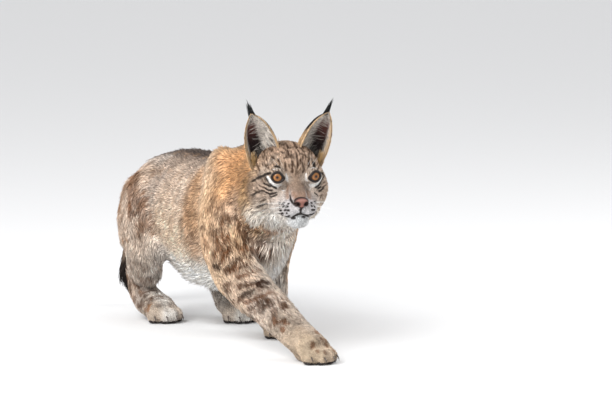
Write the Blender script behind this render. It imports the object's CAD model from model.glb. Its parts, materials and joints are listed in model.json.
"""Looks of a young Eurasian lynx that stalks low: one hide, eyes, nose, ears and a coat of solid tufts."""

import math

import bmesh
import bpy
import numpy as np
from mathutils import Matrix, Vector
from mathutils.bvhtree import BVHTree
from mathutils.kdtree import KDTree
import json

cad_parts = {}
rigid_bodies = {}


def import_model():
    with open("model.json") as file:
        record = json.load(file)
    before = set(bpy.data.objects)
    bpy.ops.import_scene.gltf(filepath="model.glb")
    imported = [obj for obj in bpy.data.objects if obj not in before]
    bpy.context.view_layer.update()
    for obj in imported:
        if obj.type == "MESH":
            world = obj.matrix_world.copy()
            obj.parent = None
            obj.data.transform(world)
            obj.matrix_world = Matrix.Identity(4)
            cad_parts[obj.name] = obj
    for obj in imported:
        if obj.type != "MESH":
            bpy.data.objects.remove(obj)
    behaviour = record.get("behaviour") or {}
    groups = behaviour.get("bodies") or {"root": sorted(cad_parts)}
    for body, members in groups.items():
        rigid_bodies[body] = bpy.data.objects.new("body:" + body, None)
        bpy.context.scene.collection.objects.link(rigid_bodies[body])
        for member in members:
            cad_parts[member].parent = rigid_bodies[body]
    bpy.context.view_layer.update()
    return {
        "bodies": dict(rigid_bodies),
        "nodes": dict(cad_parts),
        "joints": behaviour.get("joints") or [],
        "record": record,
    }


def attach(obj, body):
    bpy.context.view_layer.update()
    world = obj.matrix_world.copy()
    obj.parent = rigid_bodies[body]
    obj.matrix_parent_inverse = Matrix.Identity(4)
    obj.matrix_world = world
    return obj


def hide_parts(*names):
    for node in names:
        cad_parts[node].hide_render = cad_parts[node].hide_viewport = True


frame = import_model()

# ---- Camera ------------------------------------------------------------------------------------
# The picture is taken from low down, ahead of the right shoulder, through a long lens. One point of it, where
# the stretched forepaw meets the floor, sets the framing. The forms below are drawn round the shoulders, and
# SET_DOWN moves each finished piece so that the origin is below the animal's middle.

SET_DOWN = Matrix.Translation((-0.01744, -0.00028, 0))
PICTURE_SIZE = (612, 407)
PIXELS_PER_METRE = 625
CAMERA_DISTANCE = 8.0
SENSOR_WIDTH = 36
CAMERA_AZIMUTH = math.radians(67)
CAMERA_ELEVATION = math.radians(6.5)
PAW_FOOT = SET_DOWN @ Vector((0.42, -0.01, 0))
PAW_PIXEL = (323, 365)

view_back = Vector((math.sin(CAMERA_AZIMUTH) * math.cos(CAMERA_ELEVATION),
                    -math.cos(CAMERA_AZIMUTH) * math.cos(CAMERA_ELEVATION), math.sin(CAMERA_ELEVATION)))
view_right = Vector((math.cos(CAMERA_AZIMUTH), math.sin(CAMERA_AZIMUTH), 0))
view_up = view_back.cross(view_right)
camera = bpy.data.objects.new("camera", bpy.data.cameras.new("camera"))
bpy.context.scene.collection.objects.link(camera)
camera.data.sensor_width = SENSOR_WIDTH
camera.data.lens = PIXELS_PER_METRE * CAMERA_DISTANCE / PICTURE_SIZE[0] * SENSOR_WIDTH
camera.data.clip_end = 60
camera.location = (PAW_FOOT + view_back * CAMERA_DISTANCE
                   - view_right * ((PAW_PIXEL[0] - PICTURE_SIZE[0] / 2) / PIXELS_PER_METRE)
                   - view_up * ((PICTURE_SIZE[1] / 2 - PAW_PIXEL[1]) / PIXELS_PER_METRE))
camera.rotation_mode = "QUATERNION"
camera.rotation_quaternion = (-view_back).to_track_quat("-Z", "Y")
bpy.context.scene.camera = camera
bpy.context.scene.view_settings.view_transform = "Standard"

# ---- Hide --------------------------------------------------------------------------------------
# The body under the coat, from nose to tail tip, is one skin over muscle. It is melted from plain forms, and
# lies inside the outline of the animal by the depth of its coat.

# Stations of each form: centre, half width, half depth, and length of the coat there in millimetres
TRUNK = [
    ((-0.338, 0.000, 0.208), 0.022, 0.036, 20),
    ((-0.315, 0.000, 0.205), 0.055, 0.060, 19),
    ((-0.272, 0.000, 0.200), 0.078, 0.078, 17),
    ((-0.215, 0.000, 0.198), 0.089, 0.090, 16),
    ((-0.150, 0.000, 0.192), 0.089, 0.099, 16),
    ((-0.080, 0.000, 0.186), 0.092, 0.105, 17),
    ((-0.010, 0.000, 0.190), 0.094, 0.109, 17),
    ((0.060, -0.002, 0.203), 0.089, 0.113, 16),
    ((0.120, -0.005, 0.216), 0.078, 0.108, 15),
    ((0.170, -0.010, 0.226), 0.060, 0.096, 16),
    ((0.205, -0.009, 0.230), 0.044, 0.072, 18),
]
SHOULDER_BLADES = (((0.100, -0.048, 0.248), (0.062, 0.034, 0.084), (9, 20, 0)),
                   ((0.080, 0.048, 0.248), (0.062, 0.034, 0.084), (-9, 10, 0)))
NECK = [
    ((0.100, 0.000, 0.250), 0.066, 0.078, 15),
    ((0.160, -0.004, 0.256), 0.070, 0.084, 16),
    ((0.220, -0.012, 0.264), 0.065, 0.080, 18),
    ((0.270, -0.023, 0.273), 0.059, 0.071, 20),
    ((0.320, -0.034, 0.282), 0.050, 0.057, 20),
]
TAIL = [
    ((-0.285, 0.000, 0.250), 0.022, 0.026, 15),
    ((-0.322, -0.002, 0.242), 0.022, 0.026, 14),
    ((-0.354, -0.008, 0.211), 0.022, 0.024, 13),
    ((-0.371, -0.016, 0.163), 0.021, 0.023, 13),
    ((-0.377, -0.022, 0.110), 0.022, 0.024, 14),
    ((-0.379, -0.027, 0.060), 0.022, 0.024, 16),
    ((-0.379, -0.028, 0.032), 0.013, 0.015, 18),
]
LEGS = {
    "foreleg_right": [
        ((0.105, -0.056, 0.262), 0.030, 0.056, 16),
        ((0.130, -0.066, 0.215), 0.040, 0.060, 15),
        ((0.158, -0.074, 0.170), 0.039, 0.053, 13),
        ((0.195, -0.073, 0.130), 0.036, 0.044, 11),
        ((0.245, -0.058, 0.098), 0.033, 0.037, 9),
        ((0.298, -0.041, 0.068), 0.029, 0.030, 7),
        ((0.338, -0.028, 0.045), 0.029, 0.026, 6),
        ((0.372, -0.019, 0.030), 0.032, 0.023, 5),
        ((0.402, -0.011, 0.023), 0.027, 0.018, 4.5),
    ],
    "foreleg_left": [
        ((0.086, 0.050, 0.256), 0.028, 0.054, 16),
        ((0.078, 0.056, 0.210), 0.036, 0.054, 15),
        ((0.058, 0.060, 0.165), 0.034, 0.046, 13),
        ((0.042, 0.060, 0.130), 0.030, 0.039, 11),
        ((0.036, 0.056, 0.090), 0.028, 0.032, 9),
        ((0.038, 0.053, 0.055), 0.026, 0.027, 7),
        ((0.056, 0.052, 0.034), 0.029, 0.025, 6),
        ((0.082, 0.050, 0.026), 0.032, 0.022, 5),
        ((0.108, 0.048, 0.021), 0.027, 0.017, 4.5),
    ],
    "hindleg_right": [
        ((-0.250, -0.048, 0.225), 0.040, 0.070, 18),
        ((-0.222, -0.068, 0.185), 0.045, 0.074, 18),
        ((-0.190, -0.082, 0.146), 0.041, 0.062, 16),
        ((-0.170, -0.086, 0.118), 0.035, 0.048, 13),
        ((-0.196, -0.080, 0.093), 0.029, 0.037, 10),
        ((-0.228, -0.073, 0.072), 0.024, 0.027, 8),
        ((-0.227, -0.070, 0.046), 0.024, 0.025, 7),
        ((-0.200, -0.067, 0.029), 0.028, 0.024, 6),
        ((-0.168, -0.064, 0.024), 0.031, 0.021, 5),
        ((-0.144, -0.062, 0.020), 0.026, 0.017, 4.5),
    ],
    "hindleg_left": [
        ((-0.250, 0.048, 0.225), 0.040, 0.070, 18),
        ((-0.205, 0.068, 0.185), 0.045, 0.070, 18),
        ((-0.160, 0.082, 0.150), 0.041, 0.058, 16),
        ((-0.135, 0.086, 0.122), 0.035, 0.047, 13),
        ((-0.155, 0.078, 0.094), 0.029, 0.037, 10),
        ((-0.183, 0.069, 0.070), 0.024, 0.027, 8),
        ((-0.178, 0.065, 0.045), 0.024, 0.025, 7),
        ((-0.150, 0.061, 0.029), 0.028, 0.024, 6),
        ((-0.118, 0.058, 0.024), 0.031, 0.021, 5),
        ((-0.094, 0.056, 0.020), 0.026, 0.017, 4.5),
    ],
}
TOE_SPREAD = (-0.0225, -0.0080, 0.0080, 0.0225)
TOE_REACH = (0.000, 0.013, 0.013, 0.001)
TOE_RADII, TOE_HEIGHT, TOE_DROOP = (0.0190, 0.0092, 0.0150), 0.0125, 10
INSTEP_RADII, INSTEP_HEIGHT, INSTEP_BACK = (0.022, 0.020, 0.014), 0.011, 0.030

# The head frame starts at the middle of the skull, and +X runs out through the nose
HEAD_CENTRE = (0.335, -0.037, 0.292)
HEAD_TURN = math.radians(-9.3)
HEAD_NOD = math.radians(5)
HEAD_FRAME = (Matrix.Translation(HEAD_CENTRE) @ Matrix.Rotation(HEAD_TURN, 4, "Z")
              @ Matrix.Rotation(HEAD_NOD, 4, "Y"))
# Skull, orbits, muzzle, cheeks, jaw and chin: centre, radii, turn in degrees, and whether a pair
HEAD_FORMS = [
    ((-0.006, 0, 0.010), (0.064, 0.055, 0.052), (0, 0, 0), False),
    ((0.026, 0, 0.020), (0.037, 0.041, 0.036), (0, 20, 0), False),
    ((0.0455, 0.0290, 0.0160), (0.0185, 0.0205, 0.0200), (0, 0, 0), True),
    ((0.034, 0.0390, 0.000), (0.026, 0.0185, 0.0240), (0, 0, -20), True),
    ((0.063, 0, -0.007), (0.043, 0.0155, 0.0165), (0, 24, 0), False),
    ((0.048, 0.0240, -0.026), (0.032, 0.0200, 0.0210), (0, 0, -14), True),
    ((0.0755, 0, -0.028), (0.029, 0.0200, 0.0190), (0, 5, 0), False),
    ((0.0810, 0.0145, -0.0315), (0.0215, 0.0165, 0.0150), (0, 0, -14), True),
    ((0.0775, 0, -0.0520), (0.0215, 0.0185, 0.0130), (0, -6, 0), False),
    ((0.044, 0, -0.046), (0.042, 0.0290, 0.0210), (0, -4, 0), False),
    ((0.004, 0.0400, -0.016), (0.042, 0.0270, 0.0390), (0, 0, -8), True),
    ((-0.006, 0, -0.040), (0.052, 0.0440, 0.0300), (0, 0, 0), False),
    ((-0.016, 0.0460, -0.028), (0.030, 0.0220, 0.0420), (-8, 0, 0), True),
]
BODY_VOXEL, BODY_ROUNDS, TRUNK_ROUNDS = 0.0036, 14, 95
HEAD_VOXEL, HEAD_ROUNDS, NECK_ROUNDS = 0.0018, 19, 60
# The hide lies inside the outline by this part of the coat's length, up to a deepest, and above the floor
SKIN_INSIDE = 0.30
DEEPEST_INSIDE = 0.0055
SOLE_HEIGHT = 0.0012


def skinned(bm, rings, closed=False):
    """Joins rings of vertices, and either closes both ends or joins the last ring to the first."""
    for near, far in list(zip(rings, rings[1:])) + ([(rings[-1], rings[0])] if closed else []):
        edges = {e for ring in (near, far) for v in ring for e in v.link_edges if e.other_vert(v) in ring}
        bmesh.ops.bridge_loops(bm, edges=list(edges))
    if not closed:
        for end in (rings[0], rings[-1]):
            bmesh.ops.contextual_create(bm, geom=end)
    bmesh.ops.recalc_face_normals(bm, faces=bm.faces[:])


def tube(bm, stations):
    """A closed form lofted through stations; the width of each section lies level."""
    centres = [Vector(s[0]) for s in stations]
    rings = []
    for i, (centre, half_width, half_depth, _) in enumerate(stations):
        ahead = (centres[min(i + 1, len(centres) - 1)] - centres[max(i - 1, 0)]).normalized()
        side = (Vector((0, 1, 0)) - ahead * ahead.y).normalized()
        place = Matrix((side * half_width, ahead.cross(side) * half_depth, ahead)).transposed().to_4x4()
        place.translation = centre
        rings.append(bmesh.ops.create_circle(bm, segments=24, radius=1, matrix=place)["verts"])
    skinned(bm, rings)


def ball(bm, centre, radii, turn=(0, 0, 0), frame=Matrix()):
    spin = Matrix.Rotation(math.radians(turn[2]), 4, "Z")
    spin @= Matrix.Rotation(math.radians(turn[1]), 4, "Y") @ Matrix.Rotation(math.radians(turn[0]), 4, "X")
    place = frame @ Matrix.Translation(centre) @ spin @ Matrix.Diagonal((*radii, 1))
    bmesh.ops.create_icosphere(bm, subdivisions=4, radius=1, matrix=place)


def head_forms(bm):
    for centre, radii, turn, is_pair in HEAD_FORMS:
        for side in (1, -1) if is_pair else (1,):
            ball(bm, (centre[0], side * centre[1], centre[2]), radii, (side * turn[0], turn[1], side * turn[2]),
                 HEAD_FRAME)


def foot_frame(stations):
    """At the root of a foot's toes, turned the way the foot points, and the height of that root."""
    toe_root = Vector(stations[-1][0])
    heading = toe_root - Vector(stations[-2][0])
    toes = Matrix.Translation(toe_root) @ Matrix.Rotation(math.atan2(heading.y, heading.x), 4, "Z")
    return toes, toe_root.z


def object_from(bm, name):
    mesh = bpy.data.meshes.new(name)
    bm.to_mesh(mesh)
    bm.free()
    obj = bpy.data.objects.new(name, mesh)
    bpy.context.scene.collection.objects.link(obj)
    return obj


def frozen(obj):
    """Applies every modifier of an object."""
    bpy.context.view_layer.update()
    mesh = bpy.data.meshes.new_from_object(obj.evaluated_get(bpy.context.evaluated_depsgraph_get()))
    obj.modifiers.clear()
    obj.vertex_groups.clear()
    obj.data = mesh
    return obj


def smoothed(obj, rounds, where=None):
    """Evens out the surface, everywhere or as far as where(points) gives a weight above 0."""
    smooth = obj.modifiers.new("smooth", "SMOOTH")
    smooth.factor, smooth.iterations = 0.5, rounds
    if where:
        group = obj.vertex_groups.new(name="where")
        smooth.vertex_group = group.name
        for index, weight in enumerate(where(points_of(obj)[0])):
            group.add([index], float(weight), "REPLACE")
    return frozen(obj)


def melted(bm, name, voxel):
    obj = object_from(bm, name)
    remesh = obj.modifiers.new("melt", "REMESH")
    remesh.mode = "VOXEL"
    remesh.voxel_size = voxel
    return frozen(obj)


def points_of(obj):
    """Places and normals of an object's vertices, as two arrays."""
    count = len(obj.data.vertices)
    places, normals = np.empty(count * 3, np.float32), np.empty(count * 3, np.float32)
    obj.data.vertices.foreach_get("co", places)
    obj.data.vertices.foreach_get("normal", normals)
    return places.reshape(-1, 3).astype(float), normals.reshape(-1, 3).astype(float)


def rise(low, high, value):
    """0 below low, 1 above high and a smooth rise between, for an array."""
    t = np.clip((value - low) / (high - low), 0, 1)
    return t * t * (3 - 2 * t)


def unit(vectors):
    return vectors / np.maximum(np.linalg.norm(vectors, axis=-1, keepdims=True), 1e-9)


def laid_square(ways, axes):
    """Unit vectors nearest to the given ways that lie square to their axes."""
    return unit(ways - axes * (ways * axes).sum(1)[:, None])


def mix(first, second, share):
    """From the first at a share of 0 to the second at 1, for numbers, colours or directions."""
    return np.asarray(first) * (1 - share) + np.asarray(second) * share


HEAD_TURNED = np.array(HEAD_FRAME.to_3x3())
HEAD_AT = np.array(HEAD_CENTRE)


def to_head(points):
    """Places in millimetres in the head frame."""
    return (points - HEAD_AT) @ HEAD_TURNED * 1000


def on_trunk(points):
    return (rise(0.075, 0.135, points[:, 2]) * rise(-0.350, -0.310, points[:, 0])
            * (1 - rise(0.245, 0.285, points[:, 0])))


def behind_face(points):
    return 1 - rise(20, 50, to_head(points)[:, 0])


# The line of each form in short lengths, for the lie and the length of the coat near it. Trunk and neck are
# drawn from the rump forwards, against the lie of their hair.
line_start, line_step, line_side, line_deep, line_sizes, line_form = [], [], [], [], [], []
FORM_NAMES = ["trunk", "neck", "tail", *LEGS]
HEAD_NUMBER = len(FORM_NAMES)
for number, stations in enumerate((TRUNK, NECK, TAIL, *LEGS.values())):
    for (start, *near), (end, *far) in zip(stations, stations[1:]):
        ahead = (Vector(end) - Vector(start)).normalized()
        side = (Vector((0, 1, 0)) - ahead * ahead.y).normalized()
        line_start.append(start)
        line_step.append(Vector(end) - Vector(start))
        line_side.append(side)
        line_deep.append(ahead.cross(side))
        line_sizes.append((near, far))
        line_form.append(number)
line_start, line_step, line_side, line_deep, line_sizes, line_form = (
    np.array(a, float) for a in (line_start, line_step, line_side, line_deep, line_sizes, line_form))
runs_forward = np.where(line_form < 2, -1.0, 1.0)[:, None]
line_lie = unit(line_step) * runs_forward


def form_shares(points):
    """How much each length of line counts at each point, and the coat's length there in millimetres."""
    away = points[:, None] - line_start
    t = np.clip((away * line_step).sum(2) / (line_step ** 2).sum(1), 0, 1)
    away = away - t[..., None] * line_step
    size = mix(line_sizes[:, 0], line_sizes[:, 1], t[..., None])
    across, deep = (away * line_side).sum(2), (away * line_deep).sum(2)
    along = (away * line_lie).sum(2)
    reach = np.sqrt((across / size[..., 0]) ** 2 + (deep / size[..., 1]) ** 2
                    + (along / size[..., :2].mean(2)) ** 2)
    share = np.exp(-9 * (reach - reach.min(1, keepdims=True)))
    share /= share.sum(1, keepdims=True)
    return share, (share * size[..., 2]).sum(1)


def in_parts(points, work, size=20000):
    """Runs work(points, start) on blocks of an array and joins what it gives."""
    blocks = [work(slice(i, i + size)) for i in range(0, max(len(points), 1), size)]
    return tuple(np.concatenate(column) for column in zip(*blocks))


def body_coat(points, normals):
    """Lie, length in millimetres and form number of the body's coat at each point."""
    def block(part):
        share, length = form_shares(points[part])
        lie = share @ line_lie
        on_body = share[:, line_form < 2].sum(1)
        lie[:, 2] -= 0.42 * on_body * (1 - np.abs(normals[part][:, 2]))
        form = line_form[share.argmax(1)]
        return lie, length, form
    return in_parts(points, block)


# Regions of the head: place in the head frame, reach, colour, coat length in millimetres, how far the tips
# stand out as a part of that, and how strongly the hair falls
FACE_REGIONS = [
    ((97, 0, -6), 9, (0.30, 0.19, 0.13), 1.8, 0.20, 0.0),
    ((82, 0, 4), 12, (0.275, 0.195, 0.145), 2.4, 0.20, 0.0),
    ((66, 0, 18), 12, (0.285, 0.203, 0.148), 3.0, 0.20, 0.0),
    ((57, 0, 30), 12, (0.35, 0.255, 0.185), 3.6, 0.20, 0.0),
    ((45, 0, 45), 16, (0.38, 0.27, 0.20), 5.0, 0.22, 0.0),
    ((42, 22, 42), 14, (0.37, 0.265, 0.19), 5.0, 0.22, 0.0),
    ((12, 0, 60), 22, (0.34, 0.235, 0.165), 7.0, 0.24, 0.0),
    ((8, 30, 50), 18, (0.36, 0.25, 0.18), 7.0, 0.24, 0.0),
    ((58, 26, 29), 6, (0.34, 0.285, 0.235), 3.4, 0.22, 0.0),
    ((61, 14, 14), 6, (0.52, 0.44, 0.37), 2.6, 0.18, 0.0),
    ((59, 32, 2), 8, (0.66, 0.58, 0.51), 2.8, 0.18, 0.1),
    ((50, 46, 12), 9, (0.38, 0.30, 0.235), 3.6, 0.20, 0.1),
    ((88, 18, -24), 13, (0.53, 0.50, 0.50), 2.6, 0.22, 0.1),
    ((72, 27, -26), 14, (0.50, 0.44, 0.40), 3.6, 0.24, 0.1),
    ((92, 14, -38), 8, (0.63, 0.61, 0.61), 2.6, 0.22, 0.2),
    ((88, 0, -52), 13, (0.63, 0.64, 0.645), 4.5, 0.30, 0.4),
    ((72, 0, -64), 16, (0.70, 0.69, 0.67), 7.0, 0.32, 0.5),
    ((60, 28, -50), 16, (0.66, 0.61, 0.56), 8.0, 0.30, 0.3),
    ((58, 36, -14), 12, (0.48, 0.39, 0.32), 4.2, 0.22, 0.1),
    ((38, 50, -8), 15, (0.41, 0.31, 0.24), 7.0, 0.26, 0.2),
    ((16, 60, -12), 17, (0.37, 0.275, 0.205), 12, 0.30, 0.5),
    ((34, 48, -36), 16, (0.48, 0.40, 0.33), 11, 0.30, 0.5),
    ((-10, 62, -4), 17, (0.33, 0.180, 0.070), 20, 0.34, 0.7),
    ((-12, 66, -34), 19, (0.44, 0.285, 0.155), 27, 0.40, 1.0),
    ((0, 50, -62), 19, (0.76, 0.69, 0.61), 28, 0.40, 1.2),
    ((20, 12, -78), 24, (0.86, 0.82, 0.77), 22, 0.34, 0.9),
    ((10, 40, 40), 13, (0.40, 0.29, 0.21), 7.0, 0.24, 0.0),
    ((32, 30, 40), 8, (0.38, 0.31, 0.25), 8.0, 0.30, 0.0),
    ((30, 46, 24), 9, (0.39, 0.31, 0.245), 8.0, 0.28, 0.1),
    ((-8, 56, 14), 13, (0.42, 0.31, 0.22), 12, 0.28, 0.2),
    ((-42, 0, 48), 28, (0.36, 0.25, 0.165), 14, 0.24, 0.0),
    ((-46, 42, 18), 28, (0.55, 0.33, 0.18), 18, 0.26, 0.3),
]
region_place = np.array([place for place, *_ in FACE_REGIONS])
region_reach = np.array([reach for _, reach, *_ in FACE_REGIONS])
region_facts = np.array([(*colour, *facts) for _, _, colour, *facts in FACE_REGIONS])
NOSE_AT = np.array((104.0, 0.0, -20.0))
BODY_LIFT = 0.22


def nearness(points, places, reaches):
    """Shares of soft regions at each point, which add up to 1."""
    apart = ((points[:, None] - places) ** 2).sum(2) / reaches ** 2
    share = np.exp(-(apart - apart.min(1, keepdims=True)))
    return share / share.sum(1, keepdims=True)


def face_facts(head_points):
    """Colour, coat length, lift and fall at points of the head frame, the same on both sides."""
    folded = head_points * (1, 0, 1) + np.abs(head_points) * (0, 1, 0)
    return nearness(folded, region_place, region_reach) @ region_facts


def head_share(head_points):
    """1 on the head and 0 on the neck."""
    return rise(-58, -30, head_points[:, 0] + 0.10 * head_points[:, 2]) * rise(-120, -98, head_points[:, 2])


def coat_of(points, normals):
    """Lie along the surface, length in metres, lift and form number of the whole coat at each point."""
    lie, length, form = body_coat(points, normals)
    lift = np.full(len(points), BODY_LIFT)
    spot = to_head(points)
    share = head_share(spot)
    facts = face_facts(spot)
    from_nose = unit(spot - NOSE_AT)
    from_nose[:, 2] -= facts[:, 5]
    from_nose[:, 1] += 0.25 * facts[:, 5] * np.sign(spot[:, 1])
    # The head is turned to the right, which presses the left side of the ruff against the neck
    tucked = (spot[:, 1] > 0) * rise(5, 35, -spot[:, 2]) * (1 - rise(40, 66, spot[:, 0]))
    from_nose[:, 0] -= 0.8 * tucked
    from_nose[:, 1] -= 0.3 * tucked
    head_lie = unit(from_nose) @ HEAD_TURNED.T
    lie = laid_square(mix(unit(lie), head_lie, share[:, None]), normals)
    length = mix(length, facts[:, 3] * (1 - 0.35 * tucked), share) / 1000
    lift = mix(lift, facts[:, 4] * (1 - 0.5 * tucked), share)
    form = np.where(share > 0.5, HEAD_NUMBER, form)
    return lie, length, lift, form


bm = bmesh.new()
tube(bm, TRUNK)
for centre, radii, turn in SHOULDER_BLADES:
    ball(bm, centre, radii, turn)
tube(bm, NECK)
tube(bm, TAIL)
for stations in LEGS.values():
    tube(bm, stations)
    toes, height = foot_frame(stations)
    for across, reach in zip(TOE_SPREAD, TOE_REACH):
        ball(bm, (reach, across, TOE_HEIGHT - height), TOE_RADII, (0, TOE_DROOP, across * 500), toes)
    ball(bm, (-INSTEP_BACK, 0, INSTEP_HEIGHT - height), INSTEP_RADII, (0, 0, 0), toes)
hide = smoothed(smoothed(melted(bm, "hide", BODY_VOXEL), BODY_ROUNDS), TRUNK_ROUNDS, on_trunk)

bm = bmesh.new()
tube(bm, NECK[3:])
head_forms(bm)
head_hide = smoothed(smoothed(melted(bm, "head_hide", HEAD_VOXEL), HEAD_ROUNDS), NECK_ROUNDS, behind_face)


def drawn_in(obj):
    """Draws a hide in from the animal's outline by the depth of its coat."""
    places, normals = points_of(obj)
    _, length, _, _ = coat_of(places, normals)
    places -= normals * np.minimum(SKIN_INSIDE * length, DEEPEST_INSIDE)[:, None]
    places[:, 2] = np.maximum(places[:, 2], SOLE_HEIGHT)
    obj.data.vertices.foreach_set("co", places.astype(np.float32).ravel())
    obj.data.update()
    return obj


def in_order(obj):
    """Sorts points and faces, which a Boolean may leave in another order each time."""
    places, _ = points_of(obj)
    order = np.lexsort(places.T)
    rank = np.argsort(order).tolist()
    faces = []
    for polygon in obj.data.polygons:
        corners = [rank[v] for v in polygon.vertices]
        first = corners.index(min(corners))
        faces.append(corners[first:] + corners[:first])
    mesh = bpy.data.meshes.new(obj.name)
    mesh.from_pydata(places[order].tolist(), [], sorted(faces))
    obj.data = mesh
    return obj


def combine(obj, other, operation):
    """A Boolean with one closed object, which is then removed."""
    boolean = obj.modifiers.new("combine", "BOOLEAN")
    boolean.operation = operation
    boolean.solver = "MANIFOLD"
    boolean.object = other
    frozen(obj)
    bpy.data.objects.remove(other)
    return in_order(obj)


drawn_in(hide)
drawn_in(head_hide)
combine(hide, head_hide, "UNION")
hide.name = hide.data.name = "hide"

# ---- Markings ----------------------------------------------------------------------------------
# The coat is buff to rufous above and whitish below, with a dark line down the back, faint blotches on the
# flank, bars and spots on the legs, and a striped face. Hide and coat take their colours from here.

# Soft regions of colour: place in metres (with both sides alike), reach, colour
BODY_REGIONS = [
    ((0.151, 0.064, 0.306), 0.032, (0.68, 0.35, 0.15)),
    ((0.160, 0.078, 0.262), 0.028, (0.69, 0.35, 0.13)),
    ((0.196, 0.076, 0.232), 0.026, (0.63, 0.46, 0.34)),
    ((0.215, 0.060, 0.285), 0.030, (0.53, 0.30, 0.145)),
    ((0.118, 0.090, 0.250), 0.022, (0.60, 0.41, 0.25)),
    ((0.118, 0.040, 0.326), 0.026, (0.43, 0.27, 0.135)),
    ((0.200, 0.000, 0.345), 0.030, (0.43, 0.28, 0.155)),
    ((0.040, 0.080, 0.250), 0.026, (0.57, 0.35, 0.20)),
    ((0.044, 0.090, 0.200), 0.026, (0.57, 0.35, 0.20)),
    ((0.044, 0.086, 0.155), 0.026, (0.64, 0.45, 0.31)),
    ((-0.030, 0.086, 0.235), 0.034, (0.76, 0.60, 0.48)),
    ((-0.090, 0.086, 0.240), 0.034, (0.74, 0.58, 0.46)),
    ((-0.040, 0.090, 0.170), 0.040, (0.88, 0.70, 0.54)),
    ((-0.110, 0.090, 0.180), 0.036, (0.84, 0.67, 0.52)),
    ((-0.152, 0.084, 0.230), 0.034, (0.63, 0.52, 0.44)),
    ((-0.205, 0.080, 0.245), 0.034, (0.47, 0.32, 0.21)),
    ((-0.260, 0.070, 0.240), 0.036, (0.49, 0.34, 0.23)),
    ((-0.320, 0.030, 0.215), 0.030, (0.50, 0.38, 0.29)),
    ((0.060, 0.030, 0.318), 0.030, (0.40, 0.30, 0.23)),
    ((-0.040, 0.040, 0.300), 0.030, (0.44, 0.34, 0.27)),
    ((-0.140, 0.045, 0.292), 0.030, (0.42, 0.32, 0.25)),
    ((-0.240, 0.035, 0.288), 0.030, (0.36, 0.26, 0.19)),
    ((0.150, 0.020, 0.130), 0.036, (0.88, 0.83, 0.78)),
    ((0.060, 0.030, 0.095), 0.042, (0.90, 0.86, 0.80)),
    ((-0.040, 0.030, 0.085), 0.042, (0.90, 0.86, 0.80)),
    ((-0.130, 0.030, 0.090), 0.042, (0.88, 0.83, 0.77)),
    ((0.215, 0.012, 0.180), 0.030, (0.90, 0.82, 0.74)),
    ((0.250, 0.018, 0.200), 0.026, (0.90, 0.82, 0.74)),
    ((0.222, 0.050, 0.190), 0.028, (0.74, 0.44, 0.19)),
]
# Colour outside and inside each leg at each of its stations
FORELEG_COLOURS = [
    ((0.53, 0.35, 0.21), (0.60, 0.52, 0.44)), ((0.54, 0.35, 0.20), (0.60, 0.52, 0.44)),
    ((0.56, 0.37, 0.23), (0.60, 0.52, 0.44)), ((0.57, 0.40, 0.26), (0.56, 0.46, 0.37)),
    ((0.54, 0.40, 0.29), (0.54, 0.44, 0.35)), ((0.54, 0.43, 0.34), (0.52, 0.42, 0.33)),
    ((0.52, 0.41, 0.31), (0.52, 0.42, 0.33)), ((0.50, 0.38, 0.27), (0.50, 0.39, 0.29)),
    ((0.50, 0.38, 0.26), (0.50, 0.38, 0.27)),
]
HINDLEG_COLOURS = [
    ((0.44, 0.31, 0.22), (0.60, 0.54, 0.48)), ((0.46, 0.34, 0.25), (0.60, 0.54, 0.48)),
    ((0.48, 0.37, 0.28), (0.60, 0.54, 0.47)), ((0.52, 0.42, 0.33), (0.58, 0.50, 0.43)),
    ((0.52, 0.43, 0.35), (0.56, 0.48, 0.40)), ((0.46, 0.33, 0.24), (0.54, 0.46, 0.38)),
    ((0.46, 0.34, 0.25), (0.54, 0.46, 0.38)), ((0.52, 0.42, 0.34), (0.54, 0.46, 0.38)),
    ((0.52, 0.42, 0.33), (0.54, 0.45, 0.37)), ((0.52, 0.41, 0.31), (0.52, 0.42, 0.33)),
]
TAIL_COLOURS = [(0.40, 0.28, 0.20), (0.46, 0.34, 0.26), (0.52, 0.41, 0.32), (0.50, 0.38, 0.29),
                (0.40, 0.29, 0.21), (0.020, 0.014, 0.012), (0.016, 0.012, 0.010)]
BLACK = (0.018, 0.012, 0.010)
DARK_BROWN = (0.095, 0.042, 0.020)
RUFOUS = (0.30, 0.155, 0.075)
TAN = (0.26, 0.125, 0.055)
WHITE = (0.92, 0.90, 0.87)
BACK_LINE = (0.060, 0.042, 0.036)
STREAK_BROWN = (0.095, 0.050, 0.028)
FLANK_SPOT = (0.42, 0.27, 0.16)

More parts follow.
